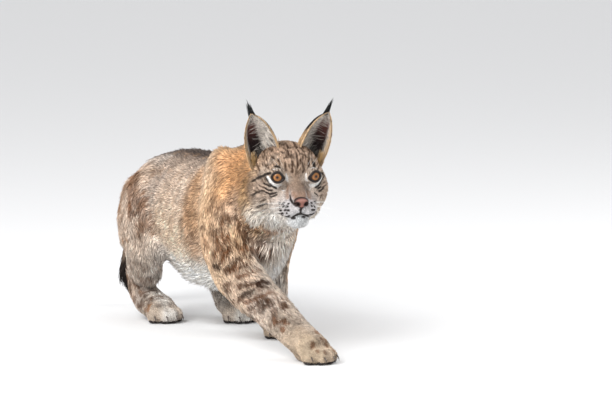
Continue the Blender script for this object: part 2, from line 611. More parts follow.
# Lines of the face in the head frame, painted in the order tan, white, brown, black: half width and points,
# in millimetres
DARK_STROKES = [
    (1.4, ((59, -41, 22), (54, -46, 20), (47, -49, 17))),
    (2, ((47, -49, 17), (39, -53, 13), (29, -56, 9))),
    (1.4, ((29, -56, 9), (21, -58, 5), (15, -62, 1))),
    (0.9, ((52, -48, 14), (54, -46, 11), (57, -44, 6), (58, -40, 2), (58, -35, -1), (58, -31, -3))),
    (1, ((79, -14, -11), (85, -14, -16), (94, -13, -19), (99, -9, -23))),
    (0.7, ((50, -50, 4), (54, -46, 2), (57, -41, 0))),
    (0.8, ((51, -50, -3), (53, -47, -5), (56, -42, -7), (58, -38, -6))),
    (1, ((19, -62, -22), (29, -59, -16), (39, -55, -11), (48, -50, -8), (51, -46, -11), (54, -41, -13),
           (59, -36, -11), (60, -32, -9))),
    (0.7, ((52, -45, -12), (54, -42, -16), (58, -39, -17), (62, -35, -14), (64, -31, -12))),
    (1, ((20, -55, -42), (32, -51, -37), (39, -46, -33), (48, -43, -30))),
    (2.6, ((-17, -51, -64), (-10, -46, -66), (-53, -30, -80))),
    (2.1, ((-58, -32, -81), (-59, -28, -85))),
    (1, ((67, -24, -45), (79, -23, -44), (95, -18, -41))),
    (0.8, ((62, -28, -44), (89, -27, -38))),
    (1.2, ((75, -30, -24), (76, -29, -24))),
    (1.2, ((83, -27, -23), (86, -25, -22))),
    (1.1, ((93, -20, -21), (93, -19, -21))),
    (1, ((78, -31, -30), (80, -30, -30))),
    (1.2, ((89, -28, -27), (90, -26, -26))),
    (1, ((94, -23, -26), (96, -21, -25))),
    (0.6, ((76, -30, -36), (87, -29, -33))),
    (1, ((94, -26, -32), (95, -24, -31))),
    (1, ((98, -22, -31), (99, -20, -31))),
    (0.8, ((96, -23, -37), (96, -22, -36))),
    (0.9, ((103, -2, -29), (102, -1, -35))),
    (0.9, ((102, -2, -36), (99, -6, -38), (97, -10, -41), (92, -13, -45))),
    (0.9, ((102, -2, -36), (99, 5, -39), (97, 11, -41))),
    (1.5, ((97, 11, -41), (97, 16, -40), (95, 21, -39))),
    (0.8, ((95, 21, -39), (91, 26, -37))),
    (1.1, ((92, -13, -46), (94, -9, -45))),
    (1, ((96, 4, -43), (95, 8, -44))),
    (1.5, ((39, 34, 35), (52, 32, 34), (58, 31, 30))),
    (1.6, ((54, -32, 33), (56, -28, 32), (57, -26, 30))),
    (1.1, ((61, 37, 22), (57, 44, 19), (39, 52, 14))),
    (1, ((39, 52, 14), (36, 56, 9), (14, 62, -1))),
    (0.9, ((46, 50, 13), (55, 46, 10), (57, 43, 5), (58, 39, 0), (58, 34, -3))),
    (1.3, ((53, 46, -8), (49, 50, -5))),
    (1, ((63, 32, -11), (63, 34, -13), (61, 38, -16))),
    (0.8, ((57, 38, -5), (56, 43, -3))),
    (0.8, ((56, 40, -10), (53, 45, -10))),
    (0.8, ((54, 42, -24), (37, 52, -27))),
    (1.2, ((93, 19, -21), (92, 20, -21))),
    (1.4, ((85, 26, -22), (76, 30, -23))),
    (1, ((98, 18, -25), (98, 19, -25))),
    (1.2, ((95, 23, -26), (94, 25, -27))),
    (0.7, ((100, 18, -31), (96, 24, -32))),
]
BROWN_STROKES = [
    (1.1, ((16, -3, 58), (24, -6, 55))),
    (1.4, ((34, -8, 53), (45, -10, 48))),
    (1, ((47, -17, 44), (49, -10, 46))),
    (1.1, ((46, -4, 49), (51, -3, 45))),
    (1.2, ((55, -5, 40), (59, -4, 34))),
    (1, ((41, 4, 52), (49, 4, 47), (55, 4, 40), (59, 4, 33), (61, 1, 29))),
    (1.1, ((42, 12, 49), (42, 17, 48), (44, 22, 44))),
    (1, ((55, 11, 38), (58, 13, 32), (59, 14, 27))),
    (1, ((22, 1, 56), (18, 8, 57), (17, 15, 55), (23, 20, 52))),
    (1, ((53, -16, 38), (57, -17, 31), (59, -16, 26))),
    (1.1, ((53, 9, 42), (54, 9, 41))),
    (0.9, ((48, 24, 38), (56, 22, 31))),
    (1, ((60, -7, 29), (62, -6, 23))),
    (0.8, ((62, 0, 26), (62, 0, 24))),
    (0.8, ((60, 12, 25), (60, 12, 22))),
    (1, ((28, -31, 43), (33, -31, 41))),
    (1, ((43, -25, 42), (47, -25, 39))),
    (1, ((32, -17, 51), (37, -16, 50))),
    (1, ((12, 31, 49), (10, 37, 45))),
    (1.3, ((37, -51, -29), (42, -46, -24))),
    (1.1, ((5, -51, -53), (22, -48, -47))),
]
TAN_STROKES = [
    (1.6, ((60, -17, 3), (64, -15, -3), (70, -15, -10), (76, -16, -16))),
    (1.6, ((60, 19, 1), (64, 19, -7), (70, 19, -12), (77, 19, -17))),
    (2.2, ((84, -10, -8), (92, -9, -12))),
    (2.2, ((84, 10, -8), (92, 9, -12))),
]
WHITE_STROKES = [
    (2.8, ((56, -45, 13), (59, -41, 8), (59, -37, 4), (59, -30, 1), (58, -24, 1))),
    (1.8, ((58, -24, 1), (57, -21, -2), (58, -20, -5))),
    (1.5, ((60, -17, 19), (60, -15, 14), (61, -14, 8))),
    (0.4, ((59, -36, 27), (60, -31, 28), (59, -26, 28))),
    (2.6, ((60, 42, 14), (58, 42, 8), (59, 38, 3), (59, 30, 1), (57, 26, 0))),
    (1.8, ((57, 26, 0), (58, 24, -4))),
    (1.3, ((60, 18, 19), (60, 18, 14), (60, 19, 9))),
    (0.4, ((60, 26, 28), (60, 30, 29), (59, 35, 27))),
]

# Bars, blotches and spots of the body: half width and points in millimetres, colour, strength
NEAR_BLACK = (0.040, 0.018, 0.010)
BROWN = (0.170, 0.068, 0.026)
GREY_BROWN = (0.30, 0.24, 0.19)
BODY_STROKES = [
    (4.0, ((192, -108, 136), (211, -103, 137)), NEAR_BLACK, 0.9),
    (3.5, ((210, -102, 146), (214, -95, 158), (216, -87, 166)), BROWN, 0.9),
    (3.2, ((223, -99, 133), (231, -92, 138), (232, -84, 148), (231, -71, 154), (226, -56, 154)), DARK_BROWN, 0.9),
    (3.0, ((234, -93, 132), (243, -81, 139), (242, -66, 145)), BROWN, 0.9),
    (4.5, ((201, -37, 145), (198, -24, 149), (204, -15, 155)), BROWN, 0.8),
    (2.6, ((248, -87, 124), (256, -76, 129), (256, -62, 133), (248, -48, 135)), BROWN, 0.8),
    (3.4, ((253, -88, 110), (266, -80, 113), (276, -70, 115), (279, -57, 118)), DARK_BROWN, 0.9),
    (5.0, ((277, -63, 116), (278, -50, 118)), NEAR_BLACK, 0.95),
    (4.2, ((269, -83, 97), (280, -75, 104)), NEAR_BLACK, 0.85),
    (2.4, ((287, -64, 108), (289, -51, 111)), DARK_BROWN, 0.8),
    (3.0, ((217, -99, 106), (235, -95, 110)), DARK_BROWN, 0.85),
    (2.4, ((214, -95, 97), (233, -95, 101)), DARK_BROWN, 0.8),
    (3.0, ((227, -85, 80), (260, -86, 89)), DARK_BROWN, 0.85),
    (2.2, ((271, -82, 85), (287, -75, 92), (296, -64, 99), (298, -51, 103)), BROWN, 0.8),
    (2.4, ((272, -79, 74), (289, -75, 81), (300, -68, 88), (305, -57, 95)), DARK_BROWN, 0.8),
    (5.0, ((308, -66, 81), (313, -57, 88)), DARK_BROWN, 0.85),
    (4.0, ((269, -72, 62), (275, -72, 60)), NEAR_BLACK, 0.7),
    (4.6, ((329, -36, 82), (321, -36, 88)), DARK_BROWN, 0.85),
    (3.8, ((334, -57, 61), (330, -57, 64)), BROWN, 0.85),
    (3.8, ((350, -46, 61), (346, -46, 64)), BROWN, 0.85),
    (3.4, ((351, -52, 52), (354, -52, 50)), BROWN, 0.8),
    (3.0, ((384, -3, 47), (378, -4, 49)), BROWN, 0.7),
    (3.0, ((408, -22, 30), (404, -22, 33)), BROWN, 0.75),
    (2.8, ((402, -4, 38), (398, -4, 40)), BROWN, 0.7),
    (2.8, ((401, 5, 29), (398, 5, 31)), BROWN, 0.7),
    (2.6, ((409, 14, 21), (406, 14, 23)), BROWN, 0.7),
    (2.6, ((422, -20, 22), (419, -20, 24)), BROWN, 0.6),
    (2.6, ((425, -7, 20), (422, -7, 22)), BROWN, 0.6),
    (5.0, ((204, -58, 193), (221, -51, 201), (229, -40, 195)), DARK_BROWN, 0.85),
    (5.0, ((207, -52, 180), (208, -38, 172), (208, -28, 167)), DARK_BROWN, 0.75),
    (4.0, ((220, -71, 166), (211, -50, 164), (202, -32, 157)), BROWN, 0.8),
    (4.0, ((191, -102, 180), (198, -94, 187)), BROWN, 0.8),
    (3.4, ((206, -87, 181), (204, -97, 172), (197, -104, 161), (192, -107, 151)), BROWN, 0.8),
    (6.0, ((230, 13, 192), (224, 12, 184)), GREY_BROWN, 0.8),
    (7.0, ((156, 51, 169), (150, 54, 158)), GREY_BROWN, 0.7),
    (6.5, ((81, 66, 123), (65, 73, 99)), GREY_BROWN, 0.8),
    (3.5, ((66, 60, 85), (62, 62, 84)), NEAR_BLACK, 0.6),
    (6.0, ((238, -61, 216), (263, -58, 216), (262, -50, 209)), DARK_BROWN, 0.9),
    (9.0, ((244, -35, 196), (260, -25, 197)), RUFOUS, 0.7),
    (11, ((-232, -84, 244), (-205, -96, 228), (-189, -102, 213), (-163, -98, 200), (-151, -99, 185),
          (-143, -98, 167)), BROWN, 0.55),
    (6.0, ((-188, -110, 195), (-175, -112, 183)), BROWN, 0.6),
    (7.0, ((-31, -91, 202), (-34, -91, 196)), BROWN, 0.22),
    (6.0, ((-75, -91, 189), (-70, -91, 192)), BROWN, 0.25),
    (7.0, ((34, -90, 206), (30, -91, 200)), BROWN, 0.30),
    (8.0, ((48, -88, 168), (40, -88, 156)), BROWN, 0.30),
]

# Mottled parts of both sides: middle, reach, colour of the blots, strength, their size and a seed
MOTTLED = [
    ((0.205, 0.078, 0.190), (0.036, 0.040, 0.050), (0.150, 0.070, 0.032), 0.78, 0.014, 21),
    ((0.150, 0.090, 0.190), (0.045, 0.040, 0.060), (0.230, 0.120, 0.060), 0.55, 0.020, 22),
    ((0.030, 0.090, 0.210), (0.035, 0.040, 0.100), (0.300, 0.165, 0.080), 0.45, 0.022, 23),
    ((-0.215, 0.085, 0.215), (0.070, 0.060, 0.070), (0.210, 0.110, 0.055), 0.60, 0.026, 24),
    ((-0.190, 0.085, 0.070), (0.060, 0.050, 0.070), (0.150, 0.075, 0.040), 0.60, 0.015, 25),
    ((-0.060, 0.090, 0.180), (0.090, 0.040, 0.060), (0.400, 0.250, 0.150), 0.35, 0.028, 26),
    ((0.305, 0.055, 0.080), (0.045, 0.045, 0.045), (0.170, 0.080, 0.040), 0.60, 0.013, 27),
]

patch_place, patch_reach, patch_colour = [], [], []
for place, reach, colour in BODY_REGIONS:
    for side in (1, -1) if place[1] else (1,):
        patch_place.append((place[0], side * place[1], place[2]))
        patch_reach.append(reach)
        patch_colour.append(colour)
for limb, stations in LEGS.items():
    away = 1 if limb.endswith("left") else -1
    colours = FORELEG_COLOURS if limb.startswith("fore") else HINDLEG_COLOURS
    for (centre, half_width, half_depth, _), (outside, inside) in zip(stations, colours):
        brighter = 1.25 if centre[2] > 0.06 else 1.02
        for side, colour in ((away, outside), (-away, inside)):
            colour = [min(0.9, brighter * tone * warm) for tone, warm in zip(colour, (1.0, 1.04, 1.10))]
            patch_place.append((centre[0], centre[1] + side * half_width, centre[2]))
            patch_reach.append(0.8 * half_depth)
            patch_colour.append(colour)
for (centre, half_width, _, _), colour in zip(TAIL, TAIL_COLOURS):
    patch_place.append(centre)
    patch_reach.append(half_width)
    patch_colour.append(colour)
patch_place, patch_reach, patch_colour = map(np.array, (patch_place, patch_reach, patch_colour))


def waves(points, size, seed, count=10):
    """A smooth random field between about -1 and 1, whose ripples are about this size in metres."""
    chance = np.random.default_rng(seed)
    ways = unit(chance.normal(size=(count, 3))) * (2 * np.pi / size) * chance.uniform(0.6, 1.5, (count, 1))
    return np.sin(points @ ways.T + chance.uniform(0, 2 * np.pi, count)).sum(1) / math.sqrt(count / 2)


# Spots and bars: middle, long axis, half length, half width, colour, strength
marks = []


def leg_mark(limb, station, angle, long_turn, half_long, half_wide, colour, strength):
    """A mark on a leg, at a station and an angle round it from the outside towards the front."""
    stations = LEGS[limb]
    first = min(int(station), len(stations) - 2)
    t = station - first
    start, end = Vector(stations[first][0]), Vector(stations[first + 1][0])
    half_width, half_depth = (stations[first][k] * (1 - t) + stations[first + 1][k] * t for k in (1, 2))
    ahead = (end - start).normalized()
    away = 1 if limb.endswith("left") else -1
    side = (Vector((0, 1, 0)) - ahead * ahead.y).normalized() * away
    deep = side.cross(ahead) * away
    turn = math.radians(angle)
    middle = start.lerp(end, t) + side * (math.cos(turn) * half_width) + deep * (math.sin(turn) * half_depth)
    round_leg = (deep * math.cos(turn) * half_depth - side * math.sin(turn) * half_width).normalized()
    tilt = math.radians(long_turn)
    marks.append((middle, round_leg * math.cos(tilt) + ahead * math.sin(tilt), half_long, half_wide, colour,
                  strength))


chance = np.random.default_rng(7)
for limb, stations in LEGS.items():
    is_fore = limb.startswith("fore")
    for station in np.arange(1.2, len(stations) - 1.0, 0.42 if is_fore else 0.50):
        thin = min(1.0, stations[int(station)][1] / 0.036)
        for angle in np.arange(-150, 170, 52):
            angle += chance.uniform(-18, 18)
            outward = math.cos(math.radians(angle))
            if outward < -0.2 and chance.random() < 0.6:
                continue
            # The outside of this leg has its own bars among the body strokes
            if limb == "foreleg_right" and station > 2.2 and outward > -0.5:
                continue
            at = min(station + chance.uniform(-0.16, 0.16), len(stations) - 1.2)
            if is_fore:
                size = (chance.uniform(0.008, 0.015) * thin, chance.uniform(0.0026, 0.0042))
                tilt = chance.uniform(-25, 25)
            else:
                size = (chance.uniform(0.0045, 0.0075), chance.uniform(0.003, 0.0048))
                tilt = chance.uniform(0, 180)
            colour = DARK_BROWN if chance.random() < 0.7 else RUFOUS
            leg_mark(limb, at, angle, tilt, *size, colour, chance.uniform(0.6, 0.95) * (0.75 + 0.25 * outward))
for x in np.arange(-0.26, 0.10, 0.034):
    for side in (1, -1):
        for height in (0.150, 0.185, 0.220, 0.255, 0.285):
            half_width = 0.088 * (1.12 - 1.6 * max(0, height - 0.23) / 0.1)
            place = (x + chance.uniform(-0.010, 0.010), side * half_width, height + chance.uniform(-0.012, 0.012))
            marks.append((Vector(place), Vector((0.1, 0, 1)).normalized(), chance.uniform(0.009, 0.016),
                          chance.uniform(0.005, 0.008), FLANK_SPOT, chance.uniform(0.25, 0.6)))
mark_place = np.array([m[0] for m in marks])
mark_way = np.array([m[1] for m in marks])
mark_long, mark_wide, mark_strength = (np.array([m[k] for m in marks]) for k in (2, 3, 5))
mark_colour = np.array([m[4] for m in marks])


def body_colour(points):
    """Colour of the body's coat at each point."""
    def block(part):
        here = points[part]
        colour = nearness(here, patch_place, patch_reach) @ patch_colour
        back_line = ((1 - rise(0.012, 0.044, np.abs(here[:, 1] + 0.002))) * rise(0.250, 0.278, here[:, 2])
                     * (1 - rise(0.08, 0.20, here[:, 0])))
        colour += (np.array(BACK_LINE) - colour) * (0.92 * back_line)[:, None]
        away = here[:, None] - mark_place
        along = (away * mark_way).sum(2)
        across = np.sqrt(np.maximum((away ** 2).sum(2) - along ** 2, 0))
        ragged = 0.22 * waves(here, 0.009, 5)[:, None] + 0.12 * waves(here, 0.004, 6)[:, None]
        size = np.sqrt((along / mark_long) ** 2 + (across / (mark_wide + 0.0016)) ** 2) + ragged
        cover = (1 - rise(0.7, 1.25, size)) * mark_strength
        strongest = cover.argmax(1)
        most = cover.max(1)[:, None]
        colour = mix(colour, mark_colour[strongest], most)
        folded = here * (1, 0, 1) + np.abs(here) * (0, 1, 0)
        for place, reach, paint, strength, patch_size, seed in MOTTLED:
            near = np.exp(-(((folded - place) / reach) ** 2).sum(1))
            blots = rise(0.15, 0.60, waves(here * (1, 1, 0.7), patch_size, seed)) * np.clip(1.6 * near, 0, 1)
            colour += (np.array(paint) - colour) * (blots * strength)[:, None]
        rough = 1.6 * waves(here, 0.011, 5) + 0.9 * waves(here, 0.005, 6)
        for half_width, line, paint, strength in BODY_STROKES:
            apart = from_line(here * 1000, line) + rough * half_width / 4
            cover = ((1 - rise(1.1 * half_width, 1.3 * half_width + 1.8, apart)) * strength)[:, None]
            colour = mix(colour, paint, cover)
        return colour,
    return in_parts(points, block)[0]


def from_line(spots, line):
    """Distance of each spot from a line of points."""
    line = np.array(line, float)
    nearest = np.full(len(spots), 1e9)
    for start, end in zip(line, line[1:]):
        step = end - start
        t = np.clip((spots - start) @ step / max(step @ step, 1e-6), 0, 1)
        nearest = np.minimum(nearest, np.linalg.norm(spots - start - t[:, None] * step, axis=1))
    return nearest


def stroke_cover(spots, strokes, wider, soft):
    """How much a set of face lines covers each point of the head frame."""
    cover = np.zeros(len(spots))
    for half_width, line in strokes:
        full = 1.1 * half_width + wider
        cover = np.maximum(cover, 1 - rise(full - soft, full + soft + 0.4, from_line(spots, line)))
    return cover


def coat_colour(points):
    """Colour of the coat at each point, on the body or on the head."""
    spot = to_head(points)
    share = head_share(spot)[:, None]
    colour = body_colour(points)
    colour *= 1 + 0.10 * waves(points, 0.030, 3)[:, None] + 0.07 * waves(points, 0.010, 4)[:, None]
    on_head = share[:, 0] > 0
    head_points = spot[on_head]
    face = in_parts(head_points, lambda part: (face_facts(head_points[part])[:, :3],))[0]
    face *= 1 + 0.06 * waves(head_points / 1000, 0.012, 8)[:, None]
    # Fine dark and pale streaks run away from the nose, strongest on brow, crown and cheeks
    from_nose = head_points - NOSE_AT
    far = np.linalg.norm(from_nose, axis=1)
    ways = np.column_stack((from_nose / far[:, None] * 75, far / 5)) / 1000
    streaks = (0.75 * waves(ways[:, :3] + ways[:, 3:] * (0.5, 0.3, 0.8), 0.0046, 9)
               + 0.60 * waves(head_points * (0.5, 1, 0.6) / 1000, 0.0042, 10))
    high = rise(8, 34, head_points[:, 2])
    cheek = (rise(30, 50, np.abs(head_points[:, 1])) * rise(-70, -45, head_points[:, 2])
             * (1 - rise(52, 70, head_points[:, 0])))
    face *= 1 + ((0.08 + 0.28 * high + 0.20 * cheek) * np.clip(streaks, -1.3, 1.3))[:, None]
    blots = (rise(0.40, 1.05, -streaks) * (0.78 * high + 0.60 * cheek))[:, None]
    face += (np.array(STREAK_BROWN) - face) * np.clip(blots, 0, 0.8)
    for strokes, paint, strength, wider, soft in (
            (TAN_STROKES, TAN, 0.55, 2.0, 2.6), (WHITE_STROKES, WHITE, 0.88, 0.75, 0.5),
            (BROWN_STROKES, NEAR_BLACK, 0.74, 0.65, 0.6), (DARK_STROKES, BLACK, 0.97, 0.75, 0.5)):
        cover = stroke_cover(head_points, strokes, wider, soft)[:, None] * strength
        face = mix(face, paint, cover)
    colour[on_head] = mix(colour[on_head], face, share[on_head])
    return np.clip(colour, 0.004, 0.95)


def set_colours(obj, colours):
    layer = obj.data.color_attributes.new("coat_colour", "FLOAT_COLOR", "POINT")
    layer.data.foreach_set("color", np.column_stack((colours, np.ones(len(colours)))).astype(np.float32).ravel())


# A group that varies a hair's colour along and across the coat, and gives the height of the fine hairs
grain = bpy.data.node_groups.new("hair_grain", "ShaderNodeTree")
for name, kind, way in (("Colour", "NodeSocketColor", "INPUT"), ("Scale", "NodeSocketFloat", "INPUT"),
                        ("Strength", "NodeSocketFloat", "INPUT"), ("Hair colour", "NodeSocketColor", "OUTPUT"),
                        ("Height", "NodeSocketFloat", "OUTPUT")):
    grain.interface.new_socket(name=name, in_out=way, socket_type=kind)
nodes, links = grain.nodes, grain.links
group_in, group_out = nodes.new("NodeGroupInput"), nodes.new("NodeGroupOutput")
place = nodes.new("ShaderNodeTexCoord")
speckle = nodes.new("ShaderNodeTexNoise")
speckle.inputs["Detail"].default_value = 2
lighter = nodes.new("ShaderNodeMapRange")
lighter.inputs["From Min"].default_value, lighter.inputs["From Max"].default_value = 0.25, 0.75
low, high = nodes.new("ShaderNodeMath"), nodes.new("ShaderNodeMath")
low.operation, high.operation = "SUBTRACT", "ADD"
low.inputs[0].default_value = high.inputs[0].default_value = 1.0
scaled = nodes.new("ShaderNodeVectorMath")
scaled.operation = "SCALE"
links.new(place.outputs["Object"], speckle.inputs["Vector"])
links.new(group_in.outputs["Scale"], speckle.inputs["Scale"])
links.new(group_in.outputs["Strength"], low.inputs[1])
links.new(group_in.outputs["Strength"], high.inputs[1])
links.new(speckle.outputs["Fac"], lighter.inputs["Value"])
links.new(low.outputs[0], lighter.inputs["To Min"])
links.new(high.outputs[0], lighter.inputs["To Max"])
links.new(group_in.outputs["Colour"], scaled.inputs[0])
links.new(lighter.outputs["Result"], scaled.inputs["Scale"])
links.new(scaled.outputs["Vector"], group_out.inputs["Hair colour"])
links.new(speckle.outputs["Fac"], group_out.inputs["Height"])


def shader_material(name, roughness, specular=0.5):
    """A new material, with its nodes, its links and its shader."""
    material = bpy.data.materials.new(name)
    material.use_nodes = True
    nodes, links = material.node_tree.nodes, material.node_tree.links
    shader = nodes["Principled BSDF"]
    shader.inputs["Roughness"].default_value = roughness
    shader.inputs["Specular IOR Level"].default_value = specular
    return material, nodes, links, shader


def plain_material(name, colour, roughness):
    material, _, _, shader = shader_material(name, roughness)
    shader.inputs["Base Color"].default_value = (*colour, 1)
    return material


def attribute_node(nodes, name):
    attribute = nodes.new("ShaderNodeAttribute")
    attribute.attribute_name = name
    return attribute


def coat_material(name, scale, strength, roughness, bump):
    """A hair finish whose colour comes from the coat_colour attribute."""
    material, nodes, links, shader = shader_material(name, roughness, 0.15)
    colour = attribute_node(nodes, "coat_colour")
    hairs = nodes.new("ShaderNodeGroup")
    hairs.node_tree = grain
    hairs.inputs["Scale"].default_value = scale
    hairs.inputs["Strength"].default_value = strength
    links.new(colour.outputs["Color"], hairs.inputs["Colour"])
    links.new(hairs.outputs["Hair colour"], shader.inputs["Base Color"])
    if bump:
        relief = nodes.new("ShaderNodeBump")
        relief.inputs["Strength"].default_value = 0.6
        relief.inputs["Distance"].default_value = bump
        links.new(hairs.outputs["Height"], relief.inputs["Height"])
        links.new(relief.outputs["Normal"], shader.inputs["Normal"])
    return material


hide_finish = coat_material("hide_finish", 900, 0.25, 0.90, 0.0006)
fur_finish = coat_material("fur_finish", 420, 0.12, 0.70, 0)


def finished(obj, material, slot, *nodes):
    """Moves a piece to its place on the floor and ties it to the frame."""
    obj.data.transform(SET_DOWN)
    obj.data.materials.clear()
    obj.data.materials.append(material)
    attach(obj, "root")
    if nodes:
        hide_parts(*nodes)
    return obj

# ---- Eyes --------------------------------------------------------------------------------------
# Round-pupilled amber eyes under a clear, wet cornea. They sit deep in the orbits, in lids that open as a
# slanted almond with thick black rims.

EYE_RADIUS_MM = 12
EYE_RADIUS = EYE_RADIUS_MM / 1000
EYE_PLACE = (0.0555, 0.0290, 0.0162)
EYE_TURN_OUT = math.radians(14)
LID_THICKNESS = 0.0017
LID_OPENING = (0.0180, 0.0166)
LID_RIM = 0.00190
PUPIL_RADIUS_MM = 1.9
PUPIL_EDGE = PUPIL_RADIUS_MM / EYE_RADIUS_MM
EYE_BLACK = (0.004, 0.003, 0.003)


def eye_frame(side):
    """At the middle of an eyeball, with +X out through the pupil."""
    return (HEAD_FRAME @ Matrix.Translation((EYE_PLACE[0], side * EYE_PLACE[1], EYE_PLACE[2]))
            @ Matrix.Rotation(side * EYE_TURN_OUT, 4, "Z"))


def seen_from_eye(points, side):
    """Places in the frame of an eye."""
    to_eye = np.array(eye_frame(side).inverted())
    return points @ to_eye[:3, :3].T + to_eye[:3, 3]


def lid_reach(points, side, wider=0.0):
    """How far out each point lies from the middle of the lid opening, whose edge is at 1."""
    seen = seen_from_eye(points, side)
    reach = np.hypot(seen[:, 1] / (LID_OPENING[0] / 2 + wider), seen[:, 2] / (LID_OPENING[1] / 2 + wider))
    return np.where(seen[:, 0] > 0, reach, np.inf)


def eye_ball(side, radius, segments, rings):
    bm = bmesh.new()
    bmesh.ops.create_uvsphere(bm, u_segments=segments, v_segments=rings, radius=radius,
                              matrix=eye_frame(side) @ Matrix.Rotation(math.pi / 2, 4, "Y"))
    return bm


def lid_edge(side, sides=40):
    """Points of the almond opening between the lids, across and up."""
    half_width, half_height = LID_OPENING[0] / 2, LID_OPENING[1] / 2
    points = []
    for step in range(sides):
        angle = 2 * math.pi * step / sides
        across = half_width * math.cos(angle)
        up = half_height * math.sin(angle) * (1 - 0.22 * abs(math.cos(angle)) ** 3)
        corner = max(0.0, -side * across / half_width)
        points.append((across - side * 0.0014 * corner ** 4, up - 0.0018 * corner ** 2))
    return points


def ring_tube(bm, path, radii, closed, sides=8):
    """A tube of round sections along points; each section faces along the path."""
    rings = []
    last = len(path) - 1
    for i, (point, radius) in enumerate(zip(path, radii)):
        before = path[i - 1] if closed or i else path[0]
        after = path[(i + 1) % len(path)] if closed or i < last else path[last]
        place = Matrix.Translation(point) @ (after - before).to_track_quat("Z", "Y").to_matrix().to_4x4()
        rings.append(bmesh.ops.create_circle(bm, segments=sides, radius=radius, matrix=place)["verts"])
    skinned(bm, rings, closed)


def shaded_smooth(obj):
    obj.data.shade_smooth()
    return obj


wet_rim, nodes, links, rim_shader = shader_material("wet_rim", 0.42, 0.25)
skin_folds = nodes.new("ShaderNodeTexNoise")
skin_folds.inputs["Scale"].default_value = 900
rim_place = nodes.new("ShaderNodeTexCoord")
rim_tones = nodes.new("ShaderNodeValToRGB")
rim_tones.color_ramp.elements[0].color = (0.010, 0.007, 0.006, 1)
rim_tones.color_ramp.elements[1].color = (0.018, 0.012, 0.010, 1)
links.new(rim_place.outputs["Object"], skin_folds.inputs["Vector"])
links.new(skin_folds.outputs["Fac"], rim_tones.inputs["Fac"])
links.new(rim_tones.outputs["Color"], rim_shader.inputs["Base Color"])

amber, nodes, links, iris_shader = shader_material("amber_iris", 0.12, 0.25)
iris_shader.inputs["Coat Weight"].default_value = 0.3
iris_shader.inputs["Coat Roughness"].default_value = 0.03
from_pupil, iris_way = attribute_node(nodes, "from_pupil"), attribute_node(nodes, "iris_way")
fibres = nodes.new("ShaderNodeTexNoise")
fibres.inputs["Scale"].default_value = 9
fibres.inputs["Detail"].default_value = 4
shifted = nodes.new("ShaderNodeMath")
shifted.operation = "MULTIPLY_ADD"
shifted.inputs[1].default_value = 0.09
iris_tones = nodes.new("ShaderNodeValToRGB")
for at, tone in ((PUPIL_EDGE, EYE_BLACK), (PUPIL_EDGE + 0.02, (0.16, 0.060, 0.018)), (0.28, (0.19, 0.076, 0.022)),
                 (0.42, (0.33, 0.148, 0.045)), (0.53, (0.19, 0.074, 0.024)), (0.61, (0.055, 0.021, 0.010)),
                 (0.68, (0.012, 0.008, 0.007))):
    tone_stop = iris_tones.color_ramp.elements.new(at)
    tone_stop.color = (*tone, 1)
for extra in (0, -1):
    iris_tones.color_ramp.elements[extra].color = (*EYE_BLACK, 1)
links.new(iris_way.outputs["Vector"], fibres.inputs["Vector"])
links.new(fibres.outputs["Fac"], shifted.inputs[0])
links.new(from_pupil.outputs["Fac"], shifted.inputs[2])
links.new(shifted.outputs[0], iris_tones.inputs["Fac"])
links.new(iris_tones.outputs["Color"], iris_shader.inputs["Base Color"])

for side in (1, -1):
    combine(hide, object_from(eye_ball(side, EYE_RADIUS + LID_THICKNESS, 48, 32), "lids"), "UNION")
for side, word in ((1, "left"), (-1, "right")):
    bm = bmesh.new()
    rings = [[bm.verts.new((reach, y, z)) for y, z in lid_edge(side)] for reach in (0.004, 0.022)]
    for ring in rings:
        for i, vert in enumerate(ring):
            bm.edges.new((ring[i - 1], vert))
    bmesh.ops.bridge_loops(bm, edges=bm.edges[:])
    for ring in rings:
        bmesh.ops.contextual_create(bm, geom=ring)
    bmesh.ops.transform(bm, matrix=eye_frame(side), verts=bm.verts[:])
    bmesh.ops.recalc_face_normals(bm, faces=bm.faces[:])
    combine(hide, object_from(bm, "slit"), "DIFFERENCE")
    combine(hide, object_from(eye_ball(side, EYE_RADIUS + 0.0002, 48, 32), "socket"), "DIFFERENCE")

    eye = shaded_smooth(object_from(eye_ball(side, EYE_RADIUS, 64, 48), f"eye_{word}_wet"))
    spots = seen_from_eye(points_of(eye)[0], side)
    out_from = np.hypot(spots[:, 1], spots[:, 2]) * 1000
    out_from = np.where(spots[:, 0] > 0, out_from, 2 * EYE_RADIUS_MM - out_from)
    layer = eye.data.attributes.new("from_pupil", "FLOAT", "POINT")
    layer.data.foreach_set("value", (out_from / EYE_RADIUS_MM - 0.045).astype(np.float32))
    way = spots * (0, 1, 1) / np.maximum(np.hypot(spots[:, 1], spots[:, 2]), 1e-5)[:, None]
    way[:, 0] = out_from / 40
    layer = eye.data.attributes.new("iris_way", "FLOAT_VECTOR", "POINT")
    layer.data.foreach_set("vector", way.astype(np.float32).ravel())
    finished(eye, amber, "amber_eye", f"eye_{word}")

    rim_radius = EYE_RADIUS + LID_THICKNESS - 0.0004
    path, radii = [], []
    for y, z in lid_edge(side):
        path.append(eye_frame(side) @ Vector((math.sqrt(rim_radius ** 2 - y * y - z * z), y, z)))
        corner = max(0.0, -side * y / (LID_OPENING[0] / 2))
        radii.append(LID_RIM * (1 + 0.15 * corner ** 3 + 0.15 * max(0.0, z) / 0.008))
    bm = bmesh.new()
    ring_tube(bm, path, radii, True)
    finished(shaded_smooth(object_from(bm, f"lid_rim_{word}")), wet_rim, "black_coat")

# ---- Nose and mouth ----------------------------------------------------------------------------
# Bare, damp leather, pink-brown with black edges, with a stem down to the split lip. A dark line of lip runs
# back from it on both sides.

